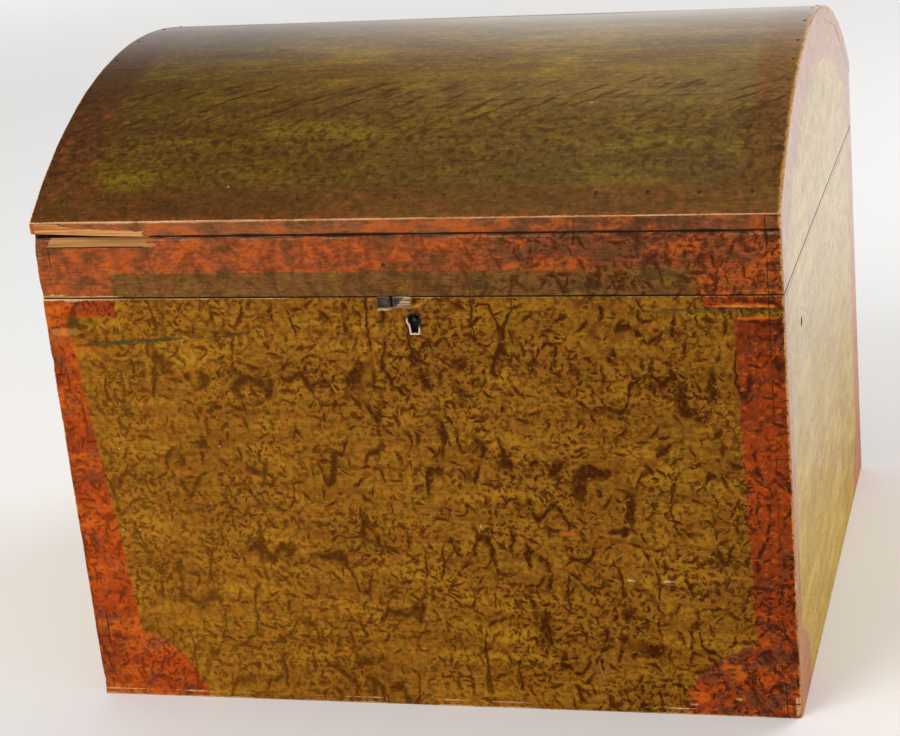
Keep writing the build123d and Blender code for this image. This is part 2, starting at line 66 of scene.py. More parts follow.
joints = {
    "tailPitch": 0.03525,
    "tailHalf": 0.0105,
    "topTail": seamHeight + 0.04105,
    "slope": 1 / 6,
    "tails": 10,
    "clear": 0.0025,  # a tail's edge this near a board's end gets no grid line
}
tailHeights = [joints["topTail"] - joints["tailPitch"] * i for i in range(joints["tails"])]

dome = {
    "rise": 0.0795,  # from the lip's arris to the crown
    "thick": 0.009,
    "jointAngles": (-21.8, -12.9, 7.7, 22.2),
    "grid": 0.005,
    "jointRound": 0.0005,
    "endRound": 0.0012,
    "lipRound": 0.0011,
    "sink": 0.0003,  # how far one board may lie below the next
    "splitDepth": 0.014,  # how far under the lip's splinter goes
    "splitEdge": 0.002,
    "planed": 0.006,  # from here down a board is flat, and its cells are one deep
    "thinnest": 0.0005,
    "waver": 0.0002,  # how far the years have moved a board in or out
    "skin": 0.0035,  # how far round its edges the paint went
}
domeRadius = (domeFront**2 + dome["rise"] ** 2) / (2 * dome["rise"])
domeMiddle = domeTop - domeRadius
domeEdge = math.asin(domeFront / domeRadius)
domeAngles = [-domeEdge] + [math.radians(a) for a in dome["jointAngles"]] + [domeEdge]


# Boards are blocks of small cells, so that their arrises can wear.


def evenLines(stops, step):
    # Grid lines through every stop, evenly spaced between them.
    stops = sorted(stops)
    lines = [stops[0]]
    for low, high in zip(stops, stops[1:]):
        if high - low < 1e-6:
            continue
        count = max(1, math.ceil((high - low) / step))
        lines += [low + (high - low) * (i + 1) / count for i in range(count)]
    return np.array(lines)


cell = {"wide": 0.0065, "thin": 0.004, "high": 0.006, "long": 0.008, "low": 0.003}
closeUp = (0.0004, 0.0009, 0.0015, 0.0023, 0.0035)  # cells are this close near an arris
sharpAngle = math.radians(38)


def nearArris(edge, inward):
    return [edge] + [edge + inward * o for o in closeUp]


def bothArrises(half):
    return nearArris(-half, 1) + nearArris(half, -1)


def acrossStops():
    return [-innerWidth, innerWidth] + bothArrises(halfWidth)


def softNoise(points, size, seed):
    # Smooth noise in space from -1 to 1, whose waves are about size long.
    spots = points / size + seed * 7.31
    base = np.floor(spots)
    part = spots - base
    part = part * part * (3 - 2 * part)
    total = np.zeros(len(points))
    for corner in range(8):
        step = np.array([corner & 1, corner >> 1 & 1, corner >> 2 & 1])
        weight = np.prod(np.where(step, part, 1 - part), axis=1)
        key = (base + step) @ np.array([127.1, 311.7, 74.7]) + seed * 13.7
        total += weight * (np.sin(key) * 43758.5453 % 1)
    return total * 2 - 1


def roundPair(first, second, radius):
    # Distances in from two faces that meet at an arris, moved onto its worn round.
    offFirst = first - radius
    offSecond = second - radius
    away = np.hypot(offFirst, offSecond)
    worn = (offFirst < 0) & (offSecond < 0) & (away > radius)
    pull = np.where(worn, radius / np.maximum(away, 1e-9), 1)
    return (
        np.where(worn, radius + offFirst * pull, first),
        np.where(worn, radius + offSecond * pull, second),
    )


def cellMesh(name, lines, keep, place, dress):
    # A board from the cells that keep() holds; place() puts its points in the box
    # and dress() gives each face its finish.
    middles = [(axis[1:] + axis[:-1]) / 2 for axis in lines]
    held = keep(*np.meshgrid(*middles, indexing="ij"))
    padded = np.pad(held, 1).astype(np.int8)
    counts = [len(axis) for axis in lines]
    turns = (((0, 0, 0), (0, 1, 0), (0, 1, 1), (0, 0, 1)),
             ((0, 0, 0), (0, 0, 1), (1, 0, 1), (1, 0, 0)),
             ((0, 0, 0), (1, 0, 0), (1, 1, 0), (0, 1, 0)))
    quads = []
    sides = []
    for axis in range(3):
        change = np.diff(padded, axis=axis)
        trim = [slice(1, -1)] * 3
        trim[axis] = slice(None)
        change = change[tuple(trim)]
        for sign in (-1, 1):
            spots = np.argwhere(change == sign)
            order = turns[axis] if sign < 0 else turns[axis][::-1]
            corners = [spots + np.array(step) for step in order]
            ids = [(c[:, 0] * counts[1] + c[:, 1]) * counts[2] + c[:, 2] for c in corners]
            quads.append(np.stack(ids, axis=1))
            sides.append(np.full(len(spots), -sign * (axis + 1)))
    quads = np.concatenate(quads)
    sides = np.concatenate(sides)
    used, packed = np.unique(quads, return_inverse=True)
    packed = packed.reshape(quads.shape)
    index = np.stack(np.unravel_index(used, counts), axis=1)
    raw = np.stack([lines[a][index[:, a]] for a in range(3)], axis=1)
    points = place(raw)
    mesh = bpy.data.meshes.new(name)
    mesh.from_pydata(points.tolist(), [], packed.tolist())
    mesh.validate()
    finishes = dress(raw[packed].mean(axis=1), sides)
    mesh.polygons.foreach_set("material_index", np.asarray(finishes, dtype=np.int32))
    mesh.polygons.foreach_set("use_smooth", np.ones(len(packed), dtype=bool))
    mesh.set_sharp_from_angle(angle=sharpAngle)
    piece = bpy.data.objects.new(name, mesh)
    bpy.context.collection.objects.link(piece)
    return piece


def inTail(z):
    # True where a cell at this height belongs to an end board's tail.
    found = np.zeros(z.shape, dtype=bool)
    for middle in tailHeights:
        found |= np.abs(z - middle) < joints["tailHalf"]
    return found


def tailStops(low, high):
    edges = []
    for middle in tailHeights:
        edges += [middle - joints["tailHalf"], middle + joints["tailHalf"]]
    return [z for z in edges if low + joints["clear"] < z < high - joints["clear"]]


def flareTails(points):
    # Tails narrow towards their roots, along the slope of a dovetail.
    inset = halfDepth - np.abs(points[:, 1])
    inset = np.clip(inset, 0, boardThick)
    for middle in tailHeights:
        for side in (-1, 1):
            edge = middle + side * joints["tailHalf"]
            at = np.abs(points[:, 2] - edge) < 1e-6
            points[at, 2] -= side * inset[at] * joints["slope"]
    return points


wear = {
    "corner": 0.0011,
    "seam": 0.00045,
    "foot": 0.0012,
    "joint": 0.0006,  # between the bottom's two boards
    "least": 0.0002,
    "reach": 0.008,  # how far up or down from a face its arris is worked on
    "skin": 0.9,  # how much of a board's thickness takes up its bow
    "waves": 0.012,
    "bow": 0.00025,
    "bowWaves": 0.09,
}
# Bites out of the arrises: where, how long, and how much deeper than the round.
chips = (
    ((-1, -1), 0.252, 0.0035, 0.0020),
    ((-1, -1), 0.205, 0.0050, 0.0010),
    ((-1, -1), 0.118, 0.0070, 0.0008),
    ((-1, -1), 0.010, 0.0060, 0.0022),
    ((1, -1), 0.004, 0.0070, 0.0040),
    ((1, -1), 0.160, 0.0060, 0.0008),
    ((1, -1), 0.078, 0.0090, 0.0007),
    ((-1, 1), 0.006, 0.0070, 0.0030),
    ((1, 1), 0.190, 0.0050, 0.0012),
    ((-1, -1), 0.341, 0.0080, 0.0050),
    ((-1, -1), 0.322, 0.0030, 0.0010),
    ((-1, -1), 0.300, 0.0050, 0.0020),
    ((1, -1), 0.338, 0.0040, 0.0009),
)


def cornerRound(points, size):
    # How far each upright arris is worn at this height.
    wide = size * (1 + 0.45 * softNoise(points, wear["waves"], 3))
    wide = wide * (1 + 0.3 * softNoise(points, wear["waves"] * 5, 4))
    for (sideX, sideY), height, reach, bite in chips:
        here = (np.sign(points[:, 0]) == sideX) & (np.sign(points[:, 1]) == sideY)
        wide = wide + here * bite * np.exp(-(((points[:, 2] - height) / reach) ** 2))
    return np.maximum(wide, wear["least"])


def wearBox(points, foot, top, footRound, topRound):
    # Rounds the arrises of a box-shaped carcass between two heights.
    sideX = np.sign(points[:, 0])
    sideY = np.sign(points[:, 1])
    inX = halfWidth - np.abs(points[:, 0])
    inY = halfDepth - np.abs(points[:, 1])
    inX, inY = roundPair(inX, inY, cornerRound(points, wear["corner"]))
    ragged = 1 + 0.6 * softNoise(points, wear["waves"] * 0.7, 5)
    for face, size in ((foot, footRound), (top, topRound)):
        if size is None:
            continue
        inZ = np.abs(points[:, 2] - face)
        inY, inZ = roundPair(inY, inZ, size * ragged)
        inX, inZ = roundPair(inX, inZ, size * ragged)
        near = np.abs(points[:, 2] - face) < wear["reach"]
        away = 1 if face == foot else -1
        points[:, 2] = np.where(near, face + away * inZ, points[:, 2])
    skinY = np.clip(1 - inY / (boardThick * wear["skin"]), 0, 1)
    skinX = np.clip(1 - inX / (boardThick * wear["skin"]), 0, 1)
    bow = wear["bow"] * (1 + softNoise(points, wear["bowWaves"], 6)) / 2
    points[:, 0] = sideX * (halfWidth - inX - bow * skinX)
    points[:, 1] = sideY * (halfDepth - inY - bow * skinY)
    return points


def fitCase(points):
    return wearBox(points, caseFoot, caseTop, None, wear["seam"])


bevel = {"angle": math.radians(52.5), "wide": 0.00163, "most": 0.004}


def stopBevel(points, up):
    # The rear arris planed to the slope at which the lid stops.
    start = halfDepth - bevel["wide"]
    limit = (points[:, 1] - start) * math.tan(bevel["angle"])
    rise = np.abs(points[:, 2] - seamHeight)
    cut = (points[:, 1] > start) & (rise < limit) & (rise < bevel["most"])
    points[:, 2] = np.where(cut, seamHeight + up * limit, points[:, 2])
    return points


frontPaint, endPaint, domePaint, bareWood = range(4)  # a board's finishes, in order


def outerFinish(middles, sides):
    outX = (halfWidth - np.abs(middles[:, 0]) < wear["least"]) & (np.abs(sides) == 1)
    outY = (halfDepth - np.abs(middles[:, 1]) < wear["least"]) & (np.abs(sides) == 2)
    return np.where(outY, frontPaint, np.where(outX, endPaint, bareWood))


liner = 0.0009  # how thick the keyhole's liner is
lock = {
    "notch": (-0.0154, 0.0072, 0.0075),  # left, right, drop below the seam
    "notchWaves": 0.0025,
    "notchShake": 0.0012,
    "notchReach": 0.002,
    "skin": 0.002,  # wood left in front of the works
    "plate": (-0.038, 0.042, 0.0475),
    "works": (-0.028, 0.032, 0.0395),
    "plateThick": 0.0015,
    "selvage": 0.0016,
    "keyhole": (0.0083, seamHeight - 0.016, 0.0043 + liner),  # middle and radius
    "keyholeFoot": (0.009, 0.0024 + liner, 0.0033 + liner),  # drop, half foot, half waist
    "keyholeSteps": 24,
}
hinge = {"x": 0.165, "half": 0.0218, "barrel": 0.0030, "barrelIn": 0.0045, "leaf": 0.0012,
         "leafEdge": 0.001}


def hingeStops(up):
    # Where both hinges are let in: across, through and up a board; up is 1 on the lid.
    xStops = [side * hinge["x"] + edge * hinge["half"] for side in (-1, 1) for edge in (-1, 1)]
    yStops = [halfDepth - hinge["barrelIn"], innerDepth + hinge["leafEdge"]]
    return xStops, yStops, [seamHeight + up * hinge["barrel"]]


def inHinge(x, y, z, up):
    onHinge = np.abs(np.abs(x) - hinge["x"]) < hinge["half"]
    barrelEnd = seamHeight + up * hinge["barrel"]
    leafEnd = (lidFoot if up > 0 else caseTop) + up * hinge["leaf"]
    barrel = (y > halfDepth - hinge["barrelIn"]) & (up * z < up * barrelEnd)
    leaf = (y > innerDepth + hinge["leafEdge"]) & (up * z < up * leafEnd)
    return onHinge & (barrel | leaf)


def inLock(x, y, z):
    # True where the front board makes way for the lock, or is broken out above it.
    (left, right, drop), (plateLeft, plateRight, plateDrop) = lock["notch"], lock["plate"]
    worksLeft, worksRight, worksDrop = lock["works"]
    behind = y > -halfDepth + lock["skin"]
    onPlate = (x > plateLeft) & (x < plateRight)
    inWorks = (x > worksLeft) & (x < worksRight) & (z > seamHeight - worksDrop) & behind
    inPlate = onPlate & (z > seamHeight - plateDrop) & (y > -innerDepth - lock["plateThick"])
    inSelvage = onPlate & behind & (z > caseTop - lock["selvage"])
    inNotch = (x > left) & (x < right) & (z > seamHeight - drop)
    return inWorks | inPlate | inSelvage | inNotch


def shakeNotch(points):
    # The notch was broken out, so its edges wander.
    left, right, drop = lock["notch"]
    reach = lock["notchReach"]
    nearX = np.minimum(np.abs(points[:, 0] - left), np.abs(points[:, 0] - right))
    near = np.minimum(nearX, np.abs(points[:, 2] - (seamHeight - drop)))
    inside = (points[:, 0] > left - reach) & (points[:, 0] < right + reach)
    inside &= points[:, 2] > seamHeight - drop - reach
    inside &= points[:, 1] < -halfDepth + lock["skin"] + 1e-5
    shake = lock["notchShake"] * softNoise(points, lock["notchWaves"], 11)
    shake = shake * (near < 0.0005) * inside
    points[:, 2] -= np.where(points[:, 2] < caseTop - 1e-4, shake, 0)
    points[:, 0] += 0.7 * shake
    return points


def caseBoard(name, side):
    # Front (-1) or back (1) board of the case.
    outer = side * halfDepth
    inner = side * innerDepth
    yStops = nearArris(outer, -side) + [inner]
    xStops = acrossStops()
    zStops = tailStops(caseFoot, caseTop) + [caseFoot] + nearArris(caseTop, -1)
    if side < 0:
        for left, right, drop in (lock["notch"], lock["plate"], lock["works"]):
            xStops += [left, right]
            zStops += [seamHeight - drop]
        zStops += [caseTop - lock["selvage"]]
        yStops += [outer + lock["skin"], inner - lock["plateThick"]]
    else:
        stops = hingeStops(-1)
        xStops, yStops, zStops = xStops + stops[0], yStops + stops[1], zStops + stops[2]

    def keep(x, y, z):
        wood = ~((np.abs(x) > innerWidth) & inTail(z))
        return wood & ~(inHinge(x, y, z, -1) if side > 0 else inLock(x, y, z))

    def place(points):
        points = flareTails(points.copy())
        if side < 0:
            return fitCase(shakeNotch(points))
        return stopBevel(fitCase(points), -1)

    return cellMesh(name, gridOf(xStops, yStops, zStops), keep, place, outerFinish)


def gridOf(xStops, yStops, zStops, sizes=("wide", "thin", "high")):
    return [evenLines(s, cell[size]) for s, size in zip((xStops, yStops, zStops), sizes)]


def endBoard(name, side, zStops, fit, up):
    # An end board of the case or, with up at 1, of the lid.
    xStops = nearArris(side * halfWidth, -side) + [side * innerWidth]
    yStops = [-innerDepth, innerDepth] + bothArrises(halfDepth)

    def keep(x, y, z):
        return (np.abs(y) < innerDepth) | inTail(z)

    def place(points):
        return stopBevel(fit(flareTails(points.copy())), up)

    lines = gridOf(xStops, yStops, zStops, ("thin", "wide", "high"))
    return cellMesh(name, lines, keep, place, outerFinish)


def undersideHeight(y):
    # The dome boards are flat underneath, so this is a run of straight slopes.
    inner = domeRadius - dome["thick"]
    lows = [inner * math.sin(a) for a in domeAngles]
    heights = [domeMiddle + inner * math.cos(a) for a in domeAngles]
    slope = (heights[1] - heights[0]) / (lows[1] - lows[0])
    lows = [-domeFront] + lows[1:-1] + [domeFront]
    heights = [heights[1] - slope * (lows[1] + domeFront)] + heights[1:-1]
    heights += [heights[0]]
    return np.interp(y, lows, heights)


lidLevel = 0.036  # above this height over the lid's foot, boards follow the dome
lidRoom = 0.060


def followDome(points):
    # Stretches the upper part of a lid board up to the underside of the dome.
    start = lidFoot + lidLevel
    share = np.clip((points[:, 2] - start) / lidRoom, 0, 1)
    top = undersideHeight(points[:, 1])
    points[:, 2] = np.where(
        points[:, 2] > start, start + share * (top - start), points[:, 2]
    )
    return points


def fitLid(points):
    return wearBox(followDome(points), lidFoot, None, wear["seam"], None)


def lidStops():
    start = lidFoot + lidLevel
    return nearArris(lidFoot, 1) + tailStops(lidFoot, start) + [start, start + lidRoom]


def lidRail(name, side):
    outer = side * halfDepth
    inner = side * innerDepth
    yStops = nearArris(outer, -side) + [inner]
    xStops = acrossStops()
    zStops = lidStops()
    if side < 0:
        zStops += [lidFoot + lidLevel + lidRoom * share for share in (0.2, 0.6, 0.8, 0.9)]
    else:
        stops = hingeStops(1)
        xStops, yStops, zStops = xStops + stops[0], yStops + stops[1], zStops + stops[2]

    def keep(x, y, z):
        wood = ~((np.abs(x) > innerWidth) & inTail(z) & (z < lidFoot + lidLevel + lidRoom))
        return wood & ~inHinge(x, y, z, 1) if side > 0 else wood

    def place(points):
        points = fitLid(flareTails(points.copy()))
        return stopBevel(points, 1) if side > 0 else splitRail(points)

    return cellMesh(name, gridOf(xStops, yStops, zStops), keep, place, outerFinish)


split = {
    "start": -0.247,  # the broken strip along the rail's top arris
    "end": -0.150,
    "taper": 0.030,
    "drop": 0.0070,
    "deep": 0.0034,
    "startRun": 0.002,
    "fibreWaves": 0.0018,
    "lipLength": 0.088,
    "lipLift": 0.0025,
}


def splitRail(points):
    # Where the lip has split away, the rail's top arris is broken off in a long strip.
    fade = np.clip((split["end"] - points[:, 0]) / split["taper"], 0, 1)
    fade = fade * np.clip((points[:, 0] - split["start"]) / split["startRun"], 0, 1)
    high = undersideHeight(points[:, 1])
    gap = np.maximum(high - points[:, 2], 0)
    inY = halfDepth + points[:, 1]
    drop = split["drop"] * (0.25 + 0.75 * fade) + 1e-6
    fibre = 1 + 0.22 * softNoise(points * np.array([0.15, 1, 1]), split["fibreWaves"], 15)
    bite = split["deep"] * fade * fibre * np.clip(1 - gap / drop, 0, 1)
    points[:, 1] = np.where(inY < bite, bite - halfDepth, points[:, 1])
    return points


def everyCell(x, y, z):
    return np.ones(x.shape, dtype=bool)


def domeBoard(name, number):
    low, high = domeAngles[number], domeAngles[number + 1]
    first, last = number == 0, number == len(domeAngles) - 2
    innerRadius = domeRadius - dome["thick"]
    lowInner, highInner = (
        np.array([innerRadius * math.sin(a), domeMiddle + innerRadius * math.cos(a)])
        for a in (low, high)
    )
    if first:
        lowInner = np.array([-domeFront, lipFoot])
    if last:
        highInner = np.array([domeFront, lipFoot])
    length = (high - low) * domeRadius
    xStops = bothArrises(halfWidth)
    alongStops = nearArris(0, 1) + nearArris(length, -1)
    if first:
        xStops += [-halfWidth + split["lipLength"]]
        alongStops += [dome["splitDepth"], dome["splitDepth"] - dome["splitEdge"]]
    lines = [
        evenLines(xStops, cell["wide"]),
        evenLines(alongStops, dome["grid"]),
        np.array(nearArris(0, 1) + [dome["planed"], 1.0]),  # 1.0 stands for the underside
    ]
    sink = dome["sink"] * (math.sin(number * 5.3) * 0.5 + 0.5)

    def place(raw):
        x, along, deep = raw[:, 0].copy(), raw[:, 1].copy(), raw[:, 2].copy()
        sideX = np.sign(x)
        inX = halfWidth - np.abs(x)
        under = deep > 0.9
        deep = np.where(under, 0.02, deep)
        here = np.stack([x, along + 0.3 * number, np.zeros_like(x)], axis=1)
        ragged = 1 + 0.5 * softNoise(here, 0.009, 21) + 0.3 * softNoise(here, 0.05, 22)
        inX, deep = roundPair(inX, deep, dome["endRound"] * ragged)
        lowRound = dome["lipRound"] if first else dome["jointRound"]
        highRound = dome["lipRound"] if last else dome["jointRound"]
        along, deep = roundPair(along, deep, lowRound * ragged)
        back, deep = roundPair(length - along, deep, highRound * ragged)
        along = length - back
        settle = sink + dome["waver"] * (1 + softNoise(here, 0.11, 23))
        share = np.clip(along / length, 0, 1)
        angle = low + (high - low) * share
        outer = np.stack(
            [domeRadius * np.sin(angle), domeMiddle + domeRadius * np.cos(angle)], axis=1
        )
        inner = lowInner + (highInner - lowInner) * share[:, None]
        if first:
            # The lip's underside is split away upwards, most at the left end.
            run = np.clip(1 - (x + halfWidth) / split["lipLength"], 0, 1)
            torn = 1 + 0.35 * softNoise(here * np.array([0.25, 1, 1]), 0.004, 31)
            depth = np.clip((dome["splitDepth"] - along) / dome["splitEdge"], 0, 1)
            lift = split["lipLift"] * run**1.3 * depth * torn
            inner[:, 1] += lift
        way = inner - outer
        size = np.linalg.norm(way, axis=1)
        way = way / size[:, None]
        reach = np.where(under, size, np.minimum(deep + settle, size - dome["thinnest"]))
        spot = outer + way * reach[:, None]
        return np.stack([sideX * (halfWidth - inX), spot[:, 0], spot[:, 1]], axis=1)

    def dress(middles, sides):
        ends = np.abs(sides) == 1
        lips = (first & (sides == -2)) | (last & (sides == 2))
        shallow = (np.abs(sides) == 2) & (middles[:, 2] < dome["skin"])
        outside = np.where((sides == -3) | shallow, domePaint, bareWood)
        return np.where(lips, frontPaint, np.where(ends, endPaint, outside))

    return cellMesh(name, lines, everyCell, place, dress)


def bottomBoard(name):
    low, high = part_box(name)
    atFront = low.y < -halfDepth + 0.001
    outer = low.y if atFront else high.y
    joint = high.y if atFront else low.y
    inward = 1 if atFront else -1
    yStops = nearArris(outer, inward) + nearArris(joint, -inward)[:3]
    zStops = nearArris(0, 1) + [high.z]
    lines = gridOf(bothArrises(halfWidth), yStops, zStops, ("wide", "long", "low"))

    def place(points):
        points = points.copy()
        inY = np.abs(points[:, 1] - joint)
        inY, inZ = roundPair(inY, points[:, 2], np.full(len(points), wear["joint"]))
        points[:, 1] = joint - inward * inY
        points[:, 2] = inZ
        return wearBox(points, 0, high.z, wear["foot"], None)

    def dress(middles, sides):
        return np.where(np.abs(sides) == 3, bareWood, outerFinish(middles, sides))

    return cellMesh(name, lines, everyCell, place, dress)


def caseEnd(name, side):
    stops = tailStops(caseFoot, caseTop) + [caseFoot] + nearArris(caseTop, -1)
    return endBoard(name, side, stops, fitCase, -1)


def lidEnd(name, side):
    return endBoard(name, side, lidStops(), fitLid, 1)


pieces = {}
for make, words, label, node, body in (
    (caseBoard, ("front", "back"), "Board", "{}_board", "case"),
    (caseEnd, ("left", "right"), "EndBoard", "{}_end_board", "case"),
    (lidRail, ("front", "back"), "Rail", "lid_{}_rail", "lid"),
    (lidEnd, ("left", "right"), "LidEnd", "lid_{}_end", "lid"),
):
    for word, side in zip(words, (-1, 1)):
        pieces[word + label] = (make(word + label, side), node.format(word), body)
for number in range(len(domeAngles) - 1):
    label = f"domeBoard{number + 1}"
    pieces[label] = (domeBoard(label, number), f"dome_board_{number + 1}", "lid")
for node in ("bottom_front_board", "bottom_back_board"):
    pieces[node] = (bottomBoard(node), node, "case")
print("boards made:", len(pieces))


def cutKeyhole(board):
    # A keyhole, round above and tapering below, cut for its liner.
    middleX, middleZ, radius = lock["keyhole"]
    drop, footHalf, waistHalf = lock["keyholeFoot"]
    start = math.acos(waistHalf / radius)
    steps = lock["keyholeSteps"]
    outline = []
    for i in range(steps + 1):
        angle = -start + (math.pi + 2 * start) * i / steps
        outline.append((middleX + radius * math.cos(angle), middleZ + radius * math.sin(angle)))
    foot = middleZ - drop - liner
    outline += [(middleX - footHalf, foot), (middleX + footHalf, foot)]
    front, back = -halfDepth - 0.002, -halfDepth + lock["skin"] + 0.0005
    points = [(x, front, z) for x, z in outline] + [(x, back, z) for x, z in outline]
    count = len(outline)
    faces = [tuple(range(count)), tuple(range(2 * count - 1, count - 1, -1))]
    for i in range(count):
        after = (i + 1) % count
        faces.append((after, i, i + count, after + count))
    mesh = bpy.data.meshes.new("keyholeCutter")
    mesh.from_pydata(points, [], faces)
    cutter = bpy.data.objects.new("keyholeCutter", mesh)
    bpy.context.collection.objects.link(cutter)
    cut = board.modifiers.new("keyhole", "BOOLEAN")
    cut.operation = "DIFFERENCE"
    cut.object = cutter
    cut.solver = "EXACT"
    bpy.context.view_layer.update()
    graph = bpy.context.evaluated_depsgraph_get()
    result = bpy.data.meshes.new_from_object(board.evaluated_get(graph))
    board.modifiers.clear()
    board.data = result
    bpy.data.objects.remove(cutter)


cutKeyhole(pieces["frontBoard"][0])


# The finishes: paint, pine and iron, mixed in the shaders.


class Wire:
    # One socket of a shader, so that its maths is written as plain sums.
    def __init__(self, tree, socket=None):
        self.tree = tree
        self.socket = socket

    def node(self, kind, settings=None, links=None, out=0):
        made = self.tree.nodes.new("ShaderNode" + kind)
        for name, value in (settings or {}).items():
            setattr(made, name, value)
        for name, value in (links or {}).items():
            if isinstance(value, Wire):
                self.tree.links.new(value.socket, made.inputs[name])
            else:
                made.inputs[name].default_value = value
        return Wire(self.tree, made.outputs[out])

    def out(self, name):
        # Another output of the same node.
        return Wire(self.tree, self.socket.node.outputs[name])

    def maths(self, operation, *values):
        return self.node("Math", {"operation": operation}, dict(enumerate(values)))

    def vector(self, operation, *values):
        return self.node("VectorMath", {"operation": operation}, dict(enumerate(values)))

    def __add__(self, other):
        return self.maths("ADD", self, other)

    def __radd__(self, other):
        return self.maths("ADD", other, self)

    def __sub__(self, other):
        return self.maths("SUBTRACT", self, other)

    def __rsub__(self, other):
        return self.maths("SUBTRACT", other, self)

    def __mul__(self, other):
        return self.maths("MULTIPLY", self, other)

    def __rmul__(self, other):
        return self.maths("MULTIPLY", other, self)

    def __truediv__(self, other):
        return self.maths("DIVIDE", self, other)

    def __rtruediv__(self, other):
        return self.maths("DIVIDE", other, self)

    def __neg__(self):
        return self.maths("MULTIPLY", self, -1.0)

    def __abs__(self):
        return self.maths("ABSOLUTE", self)

    def root(self):
        return self.maths("SQRT", self)

    def least(self, other):
        return self.maths("MINIMUM", self, other)

    def most(self, other):
        return self.maths("MAXIMUM", self, other)

    def fade(self, start, end):
        # 0 at start and 1 at end, smoothly.
        return self.node(
            "MapRange",
            {"interpolation_type": "SMOOTHSTEP", "clamp": True},
            {"Value": self, "From Min": start, "From Max": end, "To Min": 0, "To Max": 1},
        )

    def moved(self, x, y, z):
        return self.vector("ADD", self, (x, y, z))

    def scaled(self, x, y, z):
        return self.vector("MULTIPLY", self, (x, y, z))

    def parts(self):
        # The three numbers of a place.
        apart = self.node("SeparateXYZ", links={0: self})
        return [apart.out(n) for n in range(3)]

    def noise(self, scale, detail=2.0, rough=0.5, warp=0.0):
        links = {"Vector": self, "Scale": scale, "Detail": detail, "Roughness": rough}
        links["Distortion"] = warp
        return self.node("TexNoise", {"noise_dimensions": "3D"}, links)


def newFinish(name):
    # A material with an empty tree and its Principled shader.
    material = bpy.data.materials.new(name)
    material.use_nodes = True
    tree = material.node_tree
    tree.nodes.clear()
    shader = tree.nodes.new("ShaderNodeBsdfPrincipled")
    output = tree.nodes.new("ShaderNodeOutputMaterial")
    tree.links.new(shader.outputs[0], output.inputs["Surface"])
    return material, shader, Wire(tree).node("TexCoord", out=3)


def feed(shader, **inputs):
    names = {"base": "Base Color", "rough": "Roughness", "metal": "Metallic", "alpha": "Alpha",
             "coat": "Coat Weight", "coatRough": "Coat Roughness", "coatIor": "Coat IOR",
             "specular": "Specular IOR Level", "normal": "Normal"}
    for key, value in inputs.items():
        socket = shader.inputs[names[key]]
        if isinstance(value, Wire):
            value.tree.links.new(value.socket, socket)
        else:
            socket.default_value = value


def bumped(spot, strength, distance, height):
    return spot.node("Bump", links={"Strength": strength, "Distance": distance, "Height": height})


def lay(under, over, amount):
    # One colour over another, by 0 to 1. A colour is a paint's name, three numbers or a wire.
    links = {0: amount}
    for socket, colour in ((6, under), (7, over)):
        colour = paint[colour] if isinstance(colour, str) else colour
        links[socket] = colour if isinstance(colour, Wire) else (*colour, 1)
    return amount.node("Mix", {"data_type": "RGBA", "clamp_factor": True}, links, 2)


def washed(colour, *washes):
    # Lays paints over a colour one after another, each by its own amount.
    for tint, amount in washes:
        colour = lay(colour, tint, amount)
    return colour


def toned(colour, amount):
    # A colour made lighter or darker.
    return colour.node("VectorMath", {"operation": "SCALE"}, {0: colour, "Scale": amount})


def dabs(spot, spacing, half, breadth, curl, shift, soft=0.30):
    # Short curved brush dabs, one to a cell, each turned its own way.
    moved = spot.moved(shift, shift * 0.7, 0)
    cells = moved.node("TexVoronoi", {"voronoi_dimensions": "2D", "feature": "F1"},
                       {"Vector": moved, "Scale": 1 / spacing})
    chances = cells.out("Color").parts()
    across, upward, _ = moved.vector("SUBTRACT", moved, cells.out("Position")).parts()
    turn = chances[0] * (2 * math.pi)
    cosine, sine = turn.maths("COSINE", turn), turn.maths("SINE", turn)
    along = across * cosine + upward * sine
    side = upward * cosine - across * sine
    side = side + along * along * ((chances[1] - 0.5) * curl)
    size = 0.45 + chances[2] * 0.55
    along = along / (size * half)
    side = side / (size * breadth)
    return 1 - (along * along + side * side).fade(soft, 1.30)


